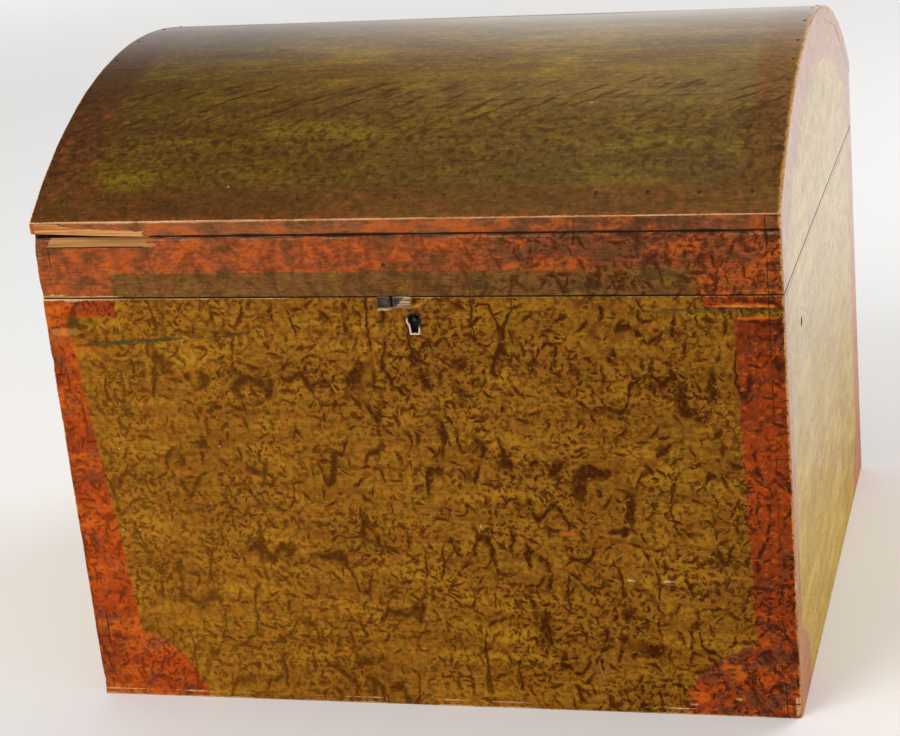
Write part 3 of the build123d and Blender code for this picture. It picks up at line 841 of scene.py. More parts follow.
paint = {
    "ochre": (0.365, 0.147, 0.0110),
    "ochreDeep": (0.225, 0.080, 0.0060),
    "gold": (0.430, 0.210, 0.0100),
    "umber": (0.050, 0.0100, 0.0008),
    "umberSoft": (0.110, 0.032, 0.0025),
    "red": (0.420, 0.056, 0.0060),
    "redDeep": (0.250, 0.034, 0.0060),
    "orange": (0.560, 0.110, 0.0100),
    "plum": (0.050, 0.0100, 0.0034),
    "domeOchre": (0.168, 0.092, 0.0065),
    "domeDeep": (0.098, 0.046, 0.0055),
    "domeGold": (0.215, 0.135, 0.0075),
    "domeRed": (0.118, 0.046, 0.0095),
    "domeWarm": (0.260, 0.062, 0.0140),
    "domeDark": (0.046, 0.0165, 0.0030),
    "domeWorn": (0.480, 0.230, 0.0320),
    # The ends' paints: lighter than the front's as painted light, for the end's brighter
    # lighting; their yellower hue is their own.
    "endOchre": (0.600, 0.390, 0.0400),
    "endDeep": (0.480, 0.270, 0.0280),
    "endGold": (0.690, 0.470, 0.0600),
    "endRed": (0.480, 0.165, 0.0850),
    "wornGold": (0.720, 0.330, 0.0700),
    "green": (0.045, 0.042, 0.0110),
    "olive": (0.165, 0.067, 0.0200),
    "lipRed": (0.290, 0.092, 0.0350),
    "railRed": (0.370, 0.082, 0.0260),
    # Pale for scratches on the rail's top, and for a painted highlight on its arris.
    "railEdge": (0.430, 0.235, 0.1250),
    "rawWood": (0.400, 0.175, 0.055),
    "rawPale": (0.700, 0.450, 0.230),
    "splitDark": (0.370, 0.125, 0.0300),
    "splitPale": (0.640, 0.310, 0.1050),
    "splitDull": (0.300, 0.140, 0.0420),
    "moss": (0.185, 0.125, 0.0090),
    "rust": (0.205, 0.052, 0.0110),
    # The grey of a painted sheen on the dome's crown.
    "haze": (0.165, 0.170, 0.1250),
    "smoke": (0.105, 0.043, 0.0220),
    "dust": (0.720, 0.510, 0.3000),
    # Dark for grime and dark joints, and also for painted shade in gaps, a slot and the split
    # corner.
    "grime": (0.022, 0.010, 0.004),
}

# The borders as painted, in metres from the box's edges.
border = {
    "leftTop": 0.0010,
    "leftSpread": 0.0890,
    "leftSpreadFrom": 0.448,
    "rightLow": 0.0286,
    "rightSpread": 0.0200,
    "rightSpreadFrom": 0.078,
    "cornerWide": 0.079,
    "cornerHigh": 0.058,
    "blockIn": 0.0520,
    "blockFoot": 0.284,
    "blockGap": (0.2820, 0.2824, 0.2880, 0.2886),
    "railLine": 0.3145,
    "lipLine": 0.3405,
    "lipStrip": 0.0027,  # the brown strip under the lip
    "lipArris": lipFoot + 0.0103,
    "footWorn": 0.0048,
    "endFront": 0.0195,
    "endBack": 0.0390,
    "endArch": 0.0380,
    "endCorner": 0.060,
    "domeSide": 0.0340,
    "domeFront": 0.0250,
    "domeCorner": (0.056, 0.050),
    "waver": 0.0050,
    "edge": (-0.0010, 0.0012),
    "domeEdge": (-0.0055, 0.0060),
}

figure = {  # a dab is its spacing, half length, half width, curl and shift
    "tick": (0.0046, 0.0019, 0.00120, 90.0, 0.31),
    "dash": (0.0076, 0.0038, 0.00145, 190.0, 1.17),
    "stroke": (0.0140, 0.0078, 0.00190, 100.0, 2.43),
    "blot": (0.0125, 0.0024, 0.00190, 30.0, 4.19),
    "endTick": (0.0085, 0.0017, 0.0011, 20.0, 0.53),
    "endPit": (0.141, 0.253, 0.0045, 0.0042),  # in front of the middle, up, and its halves
    "veinSize": 0.032,
    "smudgeSize": 0.026,
    "warpWide": 0.0052,
    "warpFine": 0.0014,
}


def squared(value):
    return value * value


def ring(across, wide, up, high):
    # Above 0 inside a quarter of an ellipse on a corner.
    return (1 - squared(across / wide) - squared(up / high)) * 0.03


def zone(up, low, lowFull, highFull, high):
    # 1 within a strip, fading out at its edges.
    return up.fade(low, lowFull) * (1 - up.fade(highFull, high))


def warped(spot, flat, scale, reach):
    # Moves a flat place about by soft noise.
    noise = spot.vector("SUBTRACT", spot.noise(scale, 2.0, 0.6).out(1), (0.5, 0.5, 0.5))
    return flat.vector("ADD", flat, noise.scaled(*reach))


def brushwork(spot, flat):
    # The dark glaze figure: ticks, dashes, strokes, veins and smudges, from 0 to 1.
    worked = warped(spot, flat, 120.0, [figure["warpWide"]] * 3)
    worked = warped(spot, worked, 480.0, [figure["warpFine"]] * 3)
    ticks = dabs(worked, *figure["tick"], soft=0.10)
    dashes = dabs(worked, *figure["dash"], soft=0.15)
    strokes = dabs(worked, *figure["stroke"], soft=0.10)
    blots = dabs(worked, *figure["blot"])
    isles = worked.noise(240.0, 1.0, 0.4)
    busy = spot.moved(0.3, 0.1, 0.2).noise(30.0, 2.0).fade(0.36, 0.62)
    small = (ticks * 0.8).most(dashes).most(isles.fade(0.575, 0.665) * 0.8)
    small = small * (0.30 + 0.60 * busy)
    size = 1 / figure["veinSize"]
    veins = abs(worked.scaled(1.35, 0.50, 1).moved(2, 5, 0).noise(size, 1.0, 0.35) - 0.5)
    broken = worked.moved(7, 3, 0).noise(size * 1.4, 1.0).fade(0.45, 0.54)
    veins = (1 - veins.fade(0.008, 0.042)) * broken
    smudges = spot.scaled(0.6, 0.6, 1.5).noise(1 / figure["smudgeSize"], 3.0, 0.6)
    dry = spot.noise(300.0, 2.0, 0.6).fade(0.28, 0.60)
    marks = small.most(strokes * 0.85).most(veins * 0.9).most(blots * 0.68)
    soft = (smudges.fade(0.54, 0.70) * 0.42).most(isles.fade(0.42, 0.58) * 0.40)
    return marks * (0.78 + 0.22 * dry), soft


def splitWood(x, z, spot):
    # Raw wood where the splinter came away, the black crack beside it, and the gap painted black
    # as painted shadow.
    shake = (spot.scaled(0.22, 1, 1).noise(520.0, 3.0, 0.65) - 0.5) * 0.0034
    along = x + halfWidth
    rise = (0.0025 - along * 0.045).most(0)
    lipTop = (0.3512 - along * 0.140).most(0.3478 - along * 0.050)
    onLip = (lipTop - z + shake).least(z - lipFoot - rise)
    onLip = onLip.least((0.080 - along) * 0.20 + shake).least((along - 0.003) * 0.3)
    railFoot = lipFoot - 0.0074
    onRail = (z - railFoot + shake * 0.15).least(lipFoot + 0.0004 - z)
    onRail = onRail.least((0.084 - along) * 0.16 + shake)
    onRail = onRail.least((along - 0.0090 - (z - railFoot) * 0.6) * 0.5)
    # The open gap under the lifted lip, painted black: a painted shadow.
    gap = (lipFoot + rise - z).least(z - lipFoot + 0.0012).least((0.060 - along) * 0.05)
    gap = gap.least(along * 0.3 - 0.001)
    crack = 0.00045 - abs(z - railFoot - 0.0001 + shake * 0.1)
    crack = crack.least((0.079 - along) * 0.1).least((along - 0.008) * 0.1)
    bare = onLip.most(onRail).fade(-0.0002, 0.0003)
    black = gap.most(crack).fade(-0.0001, 0.0003)
    return bare, black


domeFigure = {
    "slant": 0.56,  # radians that the streaks rise
    "streak": (30.0, 190.0),
    "streakZone": (-0.168, -0.156, -0.118, -0.096),
    "blob": (0.0155, 0.0056, 0.0036, 20.0, 0.77),
    "blobZone": (-0.196, -0.186, -0.166, -0.156),
    "smallZone": (-0.224, -0.204, -0.150, -0.130),
}


def domework(spot, flat, up):
    # On the dome: slanting streaks high up, rows of dark dabs, small curls low down.
    worked = warped(spot, flat, 90.0, (0.006, 0.006, 0))
    front = -abs(up)
    wavy = front + (spot.noise(16.0, 1.0) - 0.5) * 0.024
    turned = worked.node("VectorRotate", {"rotation_type": "Z_AXIS"},
                         {"Vector": worked, "Angle": -domeFigure["slant"]})
    streaks = turned.scaled(*domeFigure["streak"], 1).noise(1.0, 2.0, 0.55)
    streaks = streaks.fade(0.50, 0.68) * zone(wavy, *domeFigure["streakZone"])
    blobs = dabs(worked, *domeFigure["blob"], soft=0.0) * zone(wavy, *domeFigure["blobZone"])
    dashes = dabs(worked, *figure["dash"], soft=0.0)
    isles = worked.noise(190.0, 2.0, 0.5)
    small = (dashes * 0.5).most(isles.fade(0.48, 0.66))
    small = small * (0.22 + 0.78 * zone(wavy, *domeFigure["smallZone"]))
    grainy = spot.scaled(60, 300, 300).noise(1.0, 3.0, 0.7).fade(0.36, 0.70)
    smudges = spot.scaled(1.2, 1.6, 1.6).noise(34.0, 3.0, 0.6)
    marks = (streaks * 0.9).most(blobs * 0.85).most(small * 0.75)
    return marks, (grainy * 0.55).most(smudges.fade(0.50, 0.68) * 0.5)


def jointLines(x, z, inX, spot):
    # Dark lines: round the dovetails on the front, and in the gap under the lip as a painted
    # shadow.
    phase = (z - joints["topTail"]) / joints["tailPitch"]
    centre = abs(phase - phase.maths("ROUND", phase)) * joints["tailPitch"]
    across = abs(centre - joints["tailHalf"]).most(inX - boardThick)
    upright = abs(inX - boardThick)
    opened = spot.noise(33.0, 2.0)
    rightLid = (z - 0.262).fade(0, 0.004) * (x - 0.2).fade(0, 0.01)
    seen = (opened + rightLid * 0.14).fade(0.50, 0.62)
    lines = (1 - across.least(upright).fade(0.0002, 0.0005)) * seen * 0.85
    # The gap under the lip painted dark: a painted shadow.
    gap = abs(z - lipFoot + 0.0001) + (spot.scaled(0.5, 1, 1).noise(60.0, 2.0) - 0.62) * 0.0030
    return lines.most((1 - gap.fade(0.0003, 0.0008)) * 0.95)


def stroke(across, up, start, end, half, shake, rag):
    # One long mark between two points, ragged at its edges and thin at its ends.
    length = end[0] - start[0]
    run = (across - start[0]) / length
    off = abs(up - start[1] - run * (end[1] - start[1]) + shake * 0.35)
    taper = (run * 6).least((1 - run) * 6).least(1)
    edge = 0.0003 + half * 0.15
    return (half * taper + rag * half * 3.2 - off).fade(-edge, edge * 2)


# Marks of age on the front: where from, where to, half width, colour, how strong.
aged = (
    ((-0.2300, 0.2640), (-0.1480, 0.2695), 0.0019, "green", 0.85),
    ((-0.1560, 0.2680), (-0.0980, 0.2740), 0.0011, "green", 0.70),
    ((-0.1560, 0.2675), (-0.1440, 0.2690), 0.0006, "dust", 0.70),
    ((-0.2480, 0.2745), (-0.2240, 0.2735), 0.0030, "wornGold", 0.30),
    ((-0.2460, 0.2680), (-0.2200, 0.2670), 0.0022, "orange", 0.50),
    ((-0.2440, 0.2600), (-0.2080, 0.2610), 0.0024, "orange", 0.45),
    ((-0.2420, 0.2790), (-0.2200, 0.2785), 0.0014, "green", 0.60),
    ((0.1600, 0.2872), (0.2495, 0.2880), 0.0020, "green", 0.65),
    ((0.1980, 0.2912), (0.2440, 0.2904), 0.0016, "orange", 0.75),
    ((0.2060, 0.2902), (0.2420, 0.2898), 0.0007, "wornGold", 0.60),
    ((0.2160, 0.2822), (0.2480, 0.2826), 0.0014, "orange", 0.75),
    ((-0.1700, 0.2740), (-0.1100, 0.2725), 0.0007, "umber", 0.50),
    ((0.0930, 0.1320), (0.1080, 0.1318), 0.0013, "orange", 0.80),
    ((0.1370, 0.0990), (0.1430, 0.0989), 0.0008, "dust", 0.75),
    ((0.1610, 0.0986), (0.1690, 0.0985), 0.0008, "dust", 0.70),
    ((0.0395, 0.1370), (0.0408, 0.1350), 0.0014, "dust", 0.70),
    ((0.1130, 0.0400), (0.1180, 0.0200), 0.0006, "dust", 0.45),
    ((0.1170, 0.0460), (0.1200, 0.0260), 0.0005, "dust", 0.35),
    ((0.0225, 0.2832), (0.0360, 0.2820), 0.0017, "plum", 0.75),
    ((0.0090, 0.2905), (0.0190, 0.2950), 0.0010, "wornGold", 0.30),
    ((-0.0170, 0.2886), (-0.0050, 0.2892), 0.0009, "rawPale", 0.90),
    ((-0.0165, 0.2850), (-0.0085, 0.2842), 0.0030, "umber", 0.60),
    ((0.0000, 0.2892), (0.0080, 0.2902), 0.0007, "rawWood", 0.80),
    ((0.2455, 0.0095), (0.2500, 0.0105), 0.0060, "rawPale", 0.80),
    ((0.2375, 0.0070), (0.2440, 0.0074), 0.0030, "orange", 0.90),
    ((0.2050, 0.0130), (0.2100, 0.0134), 0.0012, "wornGold", 0.70),
    ((0.1740, 0.0080), (0.1800, 0.0084), 0.0010, "dust", 0.60),
    ((0.1960, 0.0365), (0.2140, 0.0315), 0.0060, "orange", 0.75),
    ((0.1740, 0.0148), (0.1890, 0.0132), 0.0042, "orange", 0.75),
    ((-0.2465, 0.3197), (-0.2408, 0.3199), 0.0009, "grime", 0.95),
    ((-0.2460, 0.3102), (-0.2400, 0.3106), 0.0009, "grime", 0.95),
    ((-0.2480, 0.3282), (-0.2445, 0.3280), 0.0010, "rawPale", 0.50),
    ((-0.2480, 0.3255), (-0.2450, 0.3256), 0.0006, "rawPale", 0.35),
    ((-0.2450, 0.2995), (-0.2310, 0.2993), 0.0008, "rawPale", 0.60),
    ((-0.2350, 0.2955), (-0.2220, 0.2957), 0.0007, "rawPale", 0.60),
)


# How each face was brushed: how far its streaks, bands and grain are drawn out, and its ground.
brushing = {
    "front": {"streak": (9, 9, 520), "band": (17, 17, 85), "grain": (120, 120, 900),
              "ground": ("ochreDeep", "ochre", "gold")},
    "end": {"streak": (110, 110, 140), "band": (17, 17, 85), "grain": (120, 120, 900),
            "ground": ("endDeep", "endOchre", "endGold")},
    "dome": {"streak": (8, 480, 480), "band": (13, 48, 48), "grain": (120, 900, 900),
             "ground": ("domeDeep", "domeOchre", "domeGold")},
}

# How the old varnish shines: the ends are the least handled and shine most.
gloss = {
    "front": {"coatRough": 0.16, "coatIor": 1.10, "specular": 0.0},
    "end": {"coatRough": 0.12, "coatIor": 1.60, "specular": 0.0},
    "dome": {"coatRough": 0.16, "coatIor": 1.36, "specular": 0.0},
}
relief = {"front": 0.3, "end": 0.08, "dome": 0.3}


def faceOf(spot, kind):
    # What a painted face is mixed from: its places, its ground, and brush and age as noise.
    x, y, z = spot.parts()
    across, up = (y if kind == "end" else x), z
    if kind == "dome":
        up = y.maths("ARCTAN2", y, z - domeMiddle) * domeRadius
    brush = brushing[kind]
    shake = (spot.noise(140.0, 4.0, 0.7) - 0.5) * border["waver"]
    streaks = spot.scaled(*brush["streak"]).noise(1.0, 3.0, 0.65)
    bands = spot.scaled(*brush["band"]).noise(1.0, 3.0, 0.55)
    clouds = spot.noise(13.0, 3.0, 0.55)
    low, middle, high = brush["ground"]
    ground = lay(low, middle, (streaks * 0.4 + bands * 0.6).fade(0.34, 0.66))
    return SimpleNamespace(
        spot=spot, x=x, y=y, z=z, up=up, shake=shake, streaks=streaks, bands=bands, clouds=clouds,
        flat=spot.node("CombineXYZ", links={0: across, 1: up, 2: 0.0}),
        grain=spot.scaled(*brush["grain"]).noise(1.0, 3.0, 0.7),
        mottle=spot.moved(1, 2, 3).noise(150.0, 3.0, 0.65),
        coarse=spot.noise(27.0, 2.0),
        ground=lay(ground, high, (bands * 0.6 + clouds * 0.4).fade(0.52, 0.68) * 0.65),
        inX=halfWidth - abs(x),
        leftIn=x + halfWidth + shake,
        rightIn=halfWidth - x + shake,
    )


def wornWood(face, edgeIn):
    # Worn arrises show pale wood through broken paint: how much, its fibres and its colour.
    ragged = (face.spot.noise(300.0, 3.0, 0.65) - 0.5) * 0.0022 + (face.coarse - 0.5) * 0.0016
    bare = 1 - (edgeIn - ragged).fade(0.0005, 0.0012)
    fibres = face.spot.scaled(14, 14, 900).noise(1.0, 3.0, 0.65).fade(0.32, 0.66)
    return bare, fibres, lay("rawWood", "rawPale", fibres)


def brushHeight(face, marks, bare):
    height = face.streaks * 0.45 + marks * 0.20 - bare * 0.5
    return height + face.spot.noise(900.0, 2.0) * 0.1


def varnish(shader, face, kind, coloured, bare, height, coats=()):
    # Dust and tiny losses, the relief, and what is left of the old varnish.
    spot = face.spot
    speck = spot.node("TexVoronoi", {"feature": "F1"}, {"Vector": spot, "Scale": 42.0})
    kept = spot.noise(19.0, 1.0).fade(0.52, 0.56)
    coloured = lay(coloured, "dust", (1 - speck.fade(0.018, 0.030)) * kept * 0.8)
    rough = 0.30 + 0.16 * spot.noise(75.0, 3.0) + bare * 0.3
    coat = 1 - bare * 0.8
    for share in coats:
        coat = coat * share
    bump = bumped(spot, relief[kind], 0.0005, height)
    feed(shader, base=coloured, rough=rough, normal=bump, coat=coat, **gloss[kind])


def frontBorder(face):
    # Side strips that lean, low corners, blocks by the seam, and the lid's rail.
    x, z, shake = face.x, face.z, face.shake
    leftWidth = border["leftTop"] + border["leftSpread"] * (border["leftSpreadFrom"] - z)
    rightWidth = border["rightLow"] + (z - border["rightSpreadFrom"]) * border["rightSpread"]
    sideIn = face.leftIn.least(face.rightIn)
    red = (leftWidth - face.leftIn).most(rightWidth - face.rightIn)
    red = red.most(ring(sideIn, border["cornerWide"], z + shake, border["cornerHigh"]))
    block = (border["blockIn"] - sideIn).least(z - border["blockFoot"] + shake)
    loose = 0.5 + x.fade(0.02, 0.14) * 2.2
    red = red.most(block).most((z - border["railLine"] + shake * loose) / loose)
    return red.fade(*border["edge"])


def frontRed(face, onRail):
    spot, x, z, bands, mottle = face.spot, face.x, face.z, face.bands, face.mottle
    smoky = spot.moved(2, 0, 1).noise(55.0, 3.0, 0.6)
    burnt = spot.moved(4, 4, 4).noise(70.0, 3.0, 0.6)
    lowCorner = (1 - z.fade(0.045, 0.085)) * (x - 0.1).fade(0, 0.05)
    return washed(
        lay("redDeep", "red", face.clouds.fade(0.38, 0.60)),
        ("orange", (1 - bands).fade(0.48, 0.62) * (0.35 - x * 1.5)),
        ("redDeep", bands.fade(0.52, 0.66) * 0.5),
        ("redDeep", x.fade(0.226, 0.240) * 0.45 * mottle.fade(0.4, 0.5)),
        ("orange", mottle.fade(0.54, 0.66) * 0.55),
        ("smoke", smoky.fade(0.52, 0.68) * 0.60),
        ("smoke", burnt.fade(0.46, 0.60) * lowCorner * 0.70),
        ("orange", (1 - burnt).fade(0.52, 0.62) * lowCorner * 0.60),
        ("railRed", onRail * 0.8),
    )


def frontMoods(face, coloured, redness, onRail, aboveLip, soft):
    # Soft glaze, the duller rail, the scratched strip under the lip with a painted highlight at
    # its foot, and changes of hue.
    spot, x, z, mottle = face.spot, face.x, face.z, face.mottle
    brushed = spot.scaled(9, 9, 330).noise(1.0, 3.0, 0.65).fade(0.40, 0.62)
    underLip = z - lipFoot + border["lipStrip"] + face.shake * 0.08
    strip = underLip.fade(0, 0.0005) * (1 - (z - border["lipLine"]).fade(-0.0002, 0.0002))
    scratched = spot.moved(3, 3, 3).scaled(8, 8, 650).noise(1.0, 3.0, 0.6).fade(0.46, 0.60)
    toLeft = 1 - x.fade(-0.15, -0.03)
    # A painted highlight on the rail's top arris, at the foot of the strip.
    glint = spot.scaled(0.4, 1, 1).noise(52.0, 2.0).fade(0.40, 0.54)
    glint = glint * (1 - abs(underLip).fade(0.0002, 0.0006))
    hue = spot.moved(6, 1, 4).noise(105.0, 3.0, 0.62)
    dimRail = zone(x, 0.05, 0.11, 0.175, 0.195) * onRail * redness
    warmEnd = x.fade(0.185, 0.200) * (1 - z.fade(0.311, 0.320)) * onRail
    coloured = washed(
        coloured,
        ("umberSoft", soft * (1 - redness * 0.35)),
        ("olive", onRail * (1 - redness) * 0.9),
        ("lipRed", aboveLip * 0.8),
        ("olive", onRail * brushed * 0.40),
        ("smoke", strip * 0.84),
        ("railEdge", strip * scratched * (0.22 + 0.70 * toLeft)),
        ("railEdge", glint * 0.80),
        ("moss", hue.fade(0.50, 0.66) * (1 - redness) * 0.36),
        ("rust", (1 - hue).fade(0.50, 0.66) * (1 - onRail * 0.3) * 0.30),
        ("smoke", dimRail * (0.25 + 0.4 * mottle)),
        ("orange", warmEnd * (0.25 + 0.5 * mottle)),
    )
    uneven = (face.grain - 0.5) * (0.55 + onRail * 1.15) + (mottle - 0.5) * onRail * 0.45
    # The front is toned darker towards the top and the right.
    coloured = toned(coloured, 1.10 - x * 0.7 - z * 0.45 + uneven)
    dim = spot.scaled(1, 1, 1.8).moved(5, 1, 2).noise(62.0, 3.0, 0.6)
    rightEdge = (face.inX - face.shake * 0.4).fade(0.0010, 0.0022)
    return washed(
        coloured,
        ("green", onRail * dim.fade(0.50, 0.66) * 0.55),
        ("orange", onRail * redness * (1 - dim).fade(0.51, 0.62) * 0.50),
        ("wornGold", (1 - rightEdge) * x.fade(0.1, 0.2) * 0.75),
    )


def frontEdges(face):
    # How far a place is from the nearest worn arris; the seam is worn most at the left.
    x, z, coarse = face.x, face.z, face.coarse
    seam = abs(z - seamHeight) + (coarse - 0.50) * 0.0035 + x.fade(-0.20, -0.05) * 0.0003
    seam = seam + (z - seamHeight).fade(-0.0002, 0.0002) * x.fade(-0.20, -0.16) * 0.004
    seam = seam - (1 - x.fade(-0.205, -0.185)) * 0.0007
    edgeIn = face.inX.least(seam).least(z * 0.8 + (coarse - 0.48) * 0.004)
    lipIn = abs(z - border["lipArris"]) * (0.85 + 0.55 * x.fade(-0.14, 0.02))
    footIn = abs(z - border["footWorn"]) * 1.3 + (coarse - 0.36) * 0.0060
    return edgeIn.least(lipIn).least(footIn)


def paintFront(name):
    material, shader, spot = newFinish(name)
    face = faceOf(spot, "front")
    x, z, mottle = face.x, face.z, face.mottle
    atFront = (-face.y).fade(0.1, 0.2)
    onRail = (z - lidFoot).fade(-0.0004, 0.0004)
    aboveLip = (z - border["lipLine"]).fade(0, 0.0005)
    gap = zone(z, *border["blockGap"]) * x.fade(0.1, 0.2) * atFront
    redness = frontBorder(face) * (1 - gap)
    coloured = lay(face.ground, frontRed(face, onRail), redness)
    marks, soft = brushwork(spot, face.flat)
    coloured = frontMoods(face, coloured, redness, onRail, aboveLip, soft)
    marks = marks * (1 - onRail * (0.55 - 0.45 * x.fade(0.0, 0.12)))
    marks = marks * (0.97 + x * 1.3 + z * 0.6).least(1.12).most(0.78)
    marks = marks * (1 - aboveLip * 0.55)
    coloured = lay(coloured, lay("umber", "plum", redness), marks)
    flecks = spot.moved(8, 2, 2).scaled(0.7, 1, 1).noise(330.0, 2.0, 0.6).fade(0.58, 0.70)
    flecks = flecks * (0.20 + x.fade(-0.1, 0.2) * 0.30) * (1 - onRail * 0.6)
    coloured = lay(coloured, lay("gold", "orange", redness), flecks)
    broken = spot.scaled(0.30, 1, 1.5).noise(210.0, 3.0, 0.65).fade(0.36, 0.52)
    for start, end, half, tint, amount in aged:
        seen = stroke(x, z, start, end, half, face.shake, mottle - 0.5)
        coloured = lay(coloured, tint, seen * atFront * broken * amount)
    # Dark dovetail lines, and a painted shadow in the gap under the lip.
    coloured = lay(coloured, "grime", jointLines(x, z, face.inX, spot))

    bare, fibres, wood = wornWood(face, frontEdges(face))
    onLip = (1 - abs(z - border["lipArris"]).fade(0.0020, 0.0030)) * atFront
    wood = lay(wood, "rawWood", onLip * x.fade(-0.16, -0.02) * 0.80)
    wood = toned(wood, 1 - onLip * x.fade(0.05, 0.22) * 0.32)
    coloured = lay(coloured, wood, bare)
    torn, black = (mask * atFront for mask in splitWood(x, z, spot))
    stained = spot.scaled(30, 30, 200).noise(1.0, 2.0)
    raw = lay("splitDark", "splitPale", (fibres * 0.6 + stained * 0.4).fade(0.25, 0.70))
    dull = (1 - z.fade(0.3398, 0.3404)) * (0.45 + 0.55 * stained.fade(0.35, 0.65))
    raw = lay(raw, "splitDull", dull * 0.75)
    # Black for the crack, and painted shadow in the split's gap.
    coloured = lay(lay(coloured, raw, torn), "grime", black)
    bare = bare.most(torn).most(black)
    varnish(shader, face, "front", coloured, bare, brushHeight(face, marks, bare))
    return material


def paintEnd(name):
    material, shader, spot = newFinish(name)
    # The end's ground and red are painted lighter than the front's: painted light.
    face = faceOf(spot, "end")
    x, y, z, shake, mottle, clouds = face.x, face.y, face.z, face.shake, face.mottle, face.clouds
    radius = (squared(y) + squared(z - domeMiddle)).root()
    archIn = domeRadius - radius + shake
    frontIn = y + halfDepth + shake
    backIn = halfDepth - y + shake
    red = (border["endFront"] - frontIn).most(border["endBack"] - backIn)
    red = red.most(border["endArch"] - archIn)
    corner = border["endCorner"]
    red = red.most(ring(frontIn.least(backIn - 0.01), corner, z + shake, corner))
    redness = red.fade(*border["edge"])
    redTone = washed(
        lay("endRed", "orange", (clouds * 0.5 + mottle * 0.5).fade(0.40, 0.60)),
        ("endRed", 0.75 - y * 1.5),
        ("smoke", (1 - clouds).fade(0.50, 0.66) * 0.25),
    )
    coloured = lay(face.ground, redTone, redness * 0.85)
    coloured = lay(coloured, "umberSoft", (1 - mottle).fade(0.45, 0.65) * 0.10)
    coloured = toned(coloured, 0.86 + face.grain * 0.50)
    marks = brushwork(spot, face.flat)[0]
    ticks = dabs(face.flat.scaled(1, 0.33, 1), *figure["endTick"])
    marks = (marks * 0.30).most(ticks * mottle.fade(0.48, 0.58) * 0.75)
    coloured = lay(coloured, lay("umber", "plum", redness), marks)
    forward, upward, wide, high = figure["endPit"]
    pit = (squared((y + forward) / wide) + squared((z - upward) / high)).root()
    pit = (1 - pit.fade(0.6, 1.0)) * x.fade(0.1, 0.2)
    coloured = lay(coloured, "grime", pit)

    inY = halfDepth - abs(y)
    bare, _, wood = wornWood(face, (inY * 1.2).least(archIn - shake).least(z * 1.3))
    coloured = lay(coloured, wood, bare)
    height = spot.scaled(9, 9, 520).noise(1.0, 3.0, 0.65) * 0.45 - bare * 0.5
    coats = (  # it shines most high up
        0.26 + 0.74 * (z + (clouds - 0.5) * 0.1).fade(-0.02, 0.30),
        0.86 + 0.14 * face.streaks.fade(0.36, 0.62),
        1 - marks * 0.30,
        1 - pit,
    )
    varnish(shader, face, "end", coloured, bare, height, coats)
    return material


def domeColour(face, toRight, lipIn, red, redness):
    # Ground and red, both browner at the left and warmer by the lip; painted lighter towards the
    # right as painted light from that side.
    x, up, mottle, clouds = face.x, face.up, face.mottle, face.clouds
    upper = (1 - abs(up).fade(0.11, 0.21))
    brown = ((1 - clouds) * 0.5 + (1 - mottle) * 0.5).fade(0.46, 0.62)
    coloured = washed(
        toned(face.ground, 0.90 + toRight * (0.10 + 0.50 * upper)),
        ("domeGold", mottle.fade(0.50, 0.66) * 0.36),
        ("domeRed", brown * (0.75 - 0.45 * toRight)),
    )
    warm = (clouds * 0.4 + mottle * 0.6).fade(0.48, 0.64) * 0.50
    warm = warm.most((1 - lipIn.fade(0.001, 0.008)) * 0.60 * mottle.fade(0.34, 0.56))
    upRight = x.fade(0.15, 0.20) * (1 - abs(up).fade(0.11, 0.15))
    rim = (1 - abs(red - 0.004).fade(0.0, 0.006)) * upRight
    redTone = washed(
        lay("domeDark", "domeRed", mottle.fade(0.3, 0.7)),
        ("domeRed", 0.5 + 0.4 * toRight),
        ("domeWarm", warm.most(rim * 0.40)),
    )
    # Painted light: the red thinned towards the right.
    paintedLight = 1 - toRight * toRight * 0.32
    amount = redness * paintedLight * (0.60 + 0.40 * mottle.fade(0.3, 0.6))
    return lay(coloured, toned(redTone, 1 + toRight * 0.45), amount)


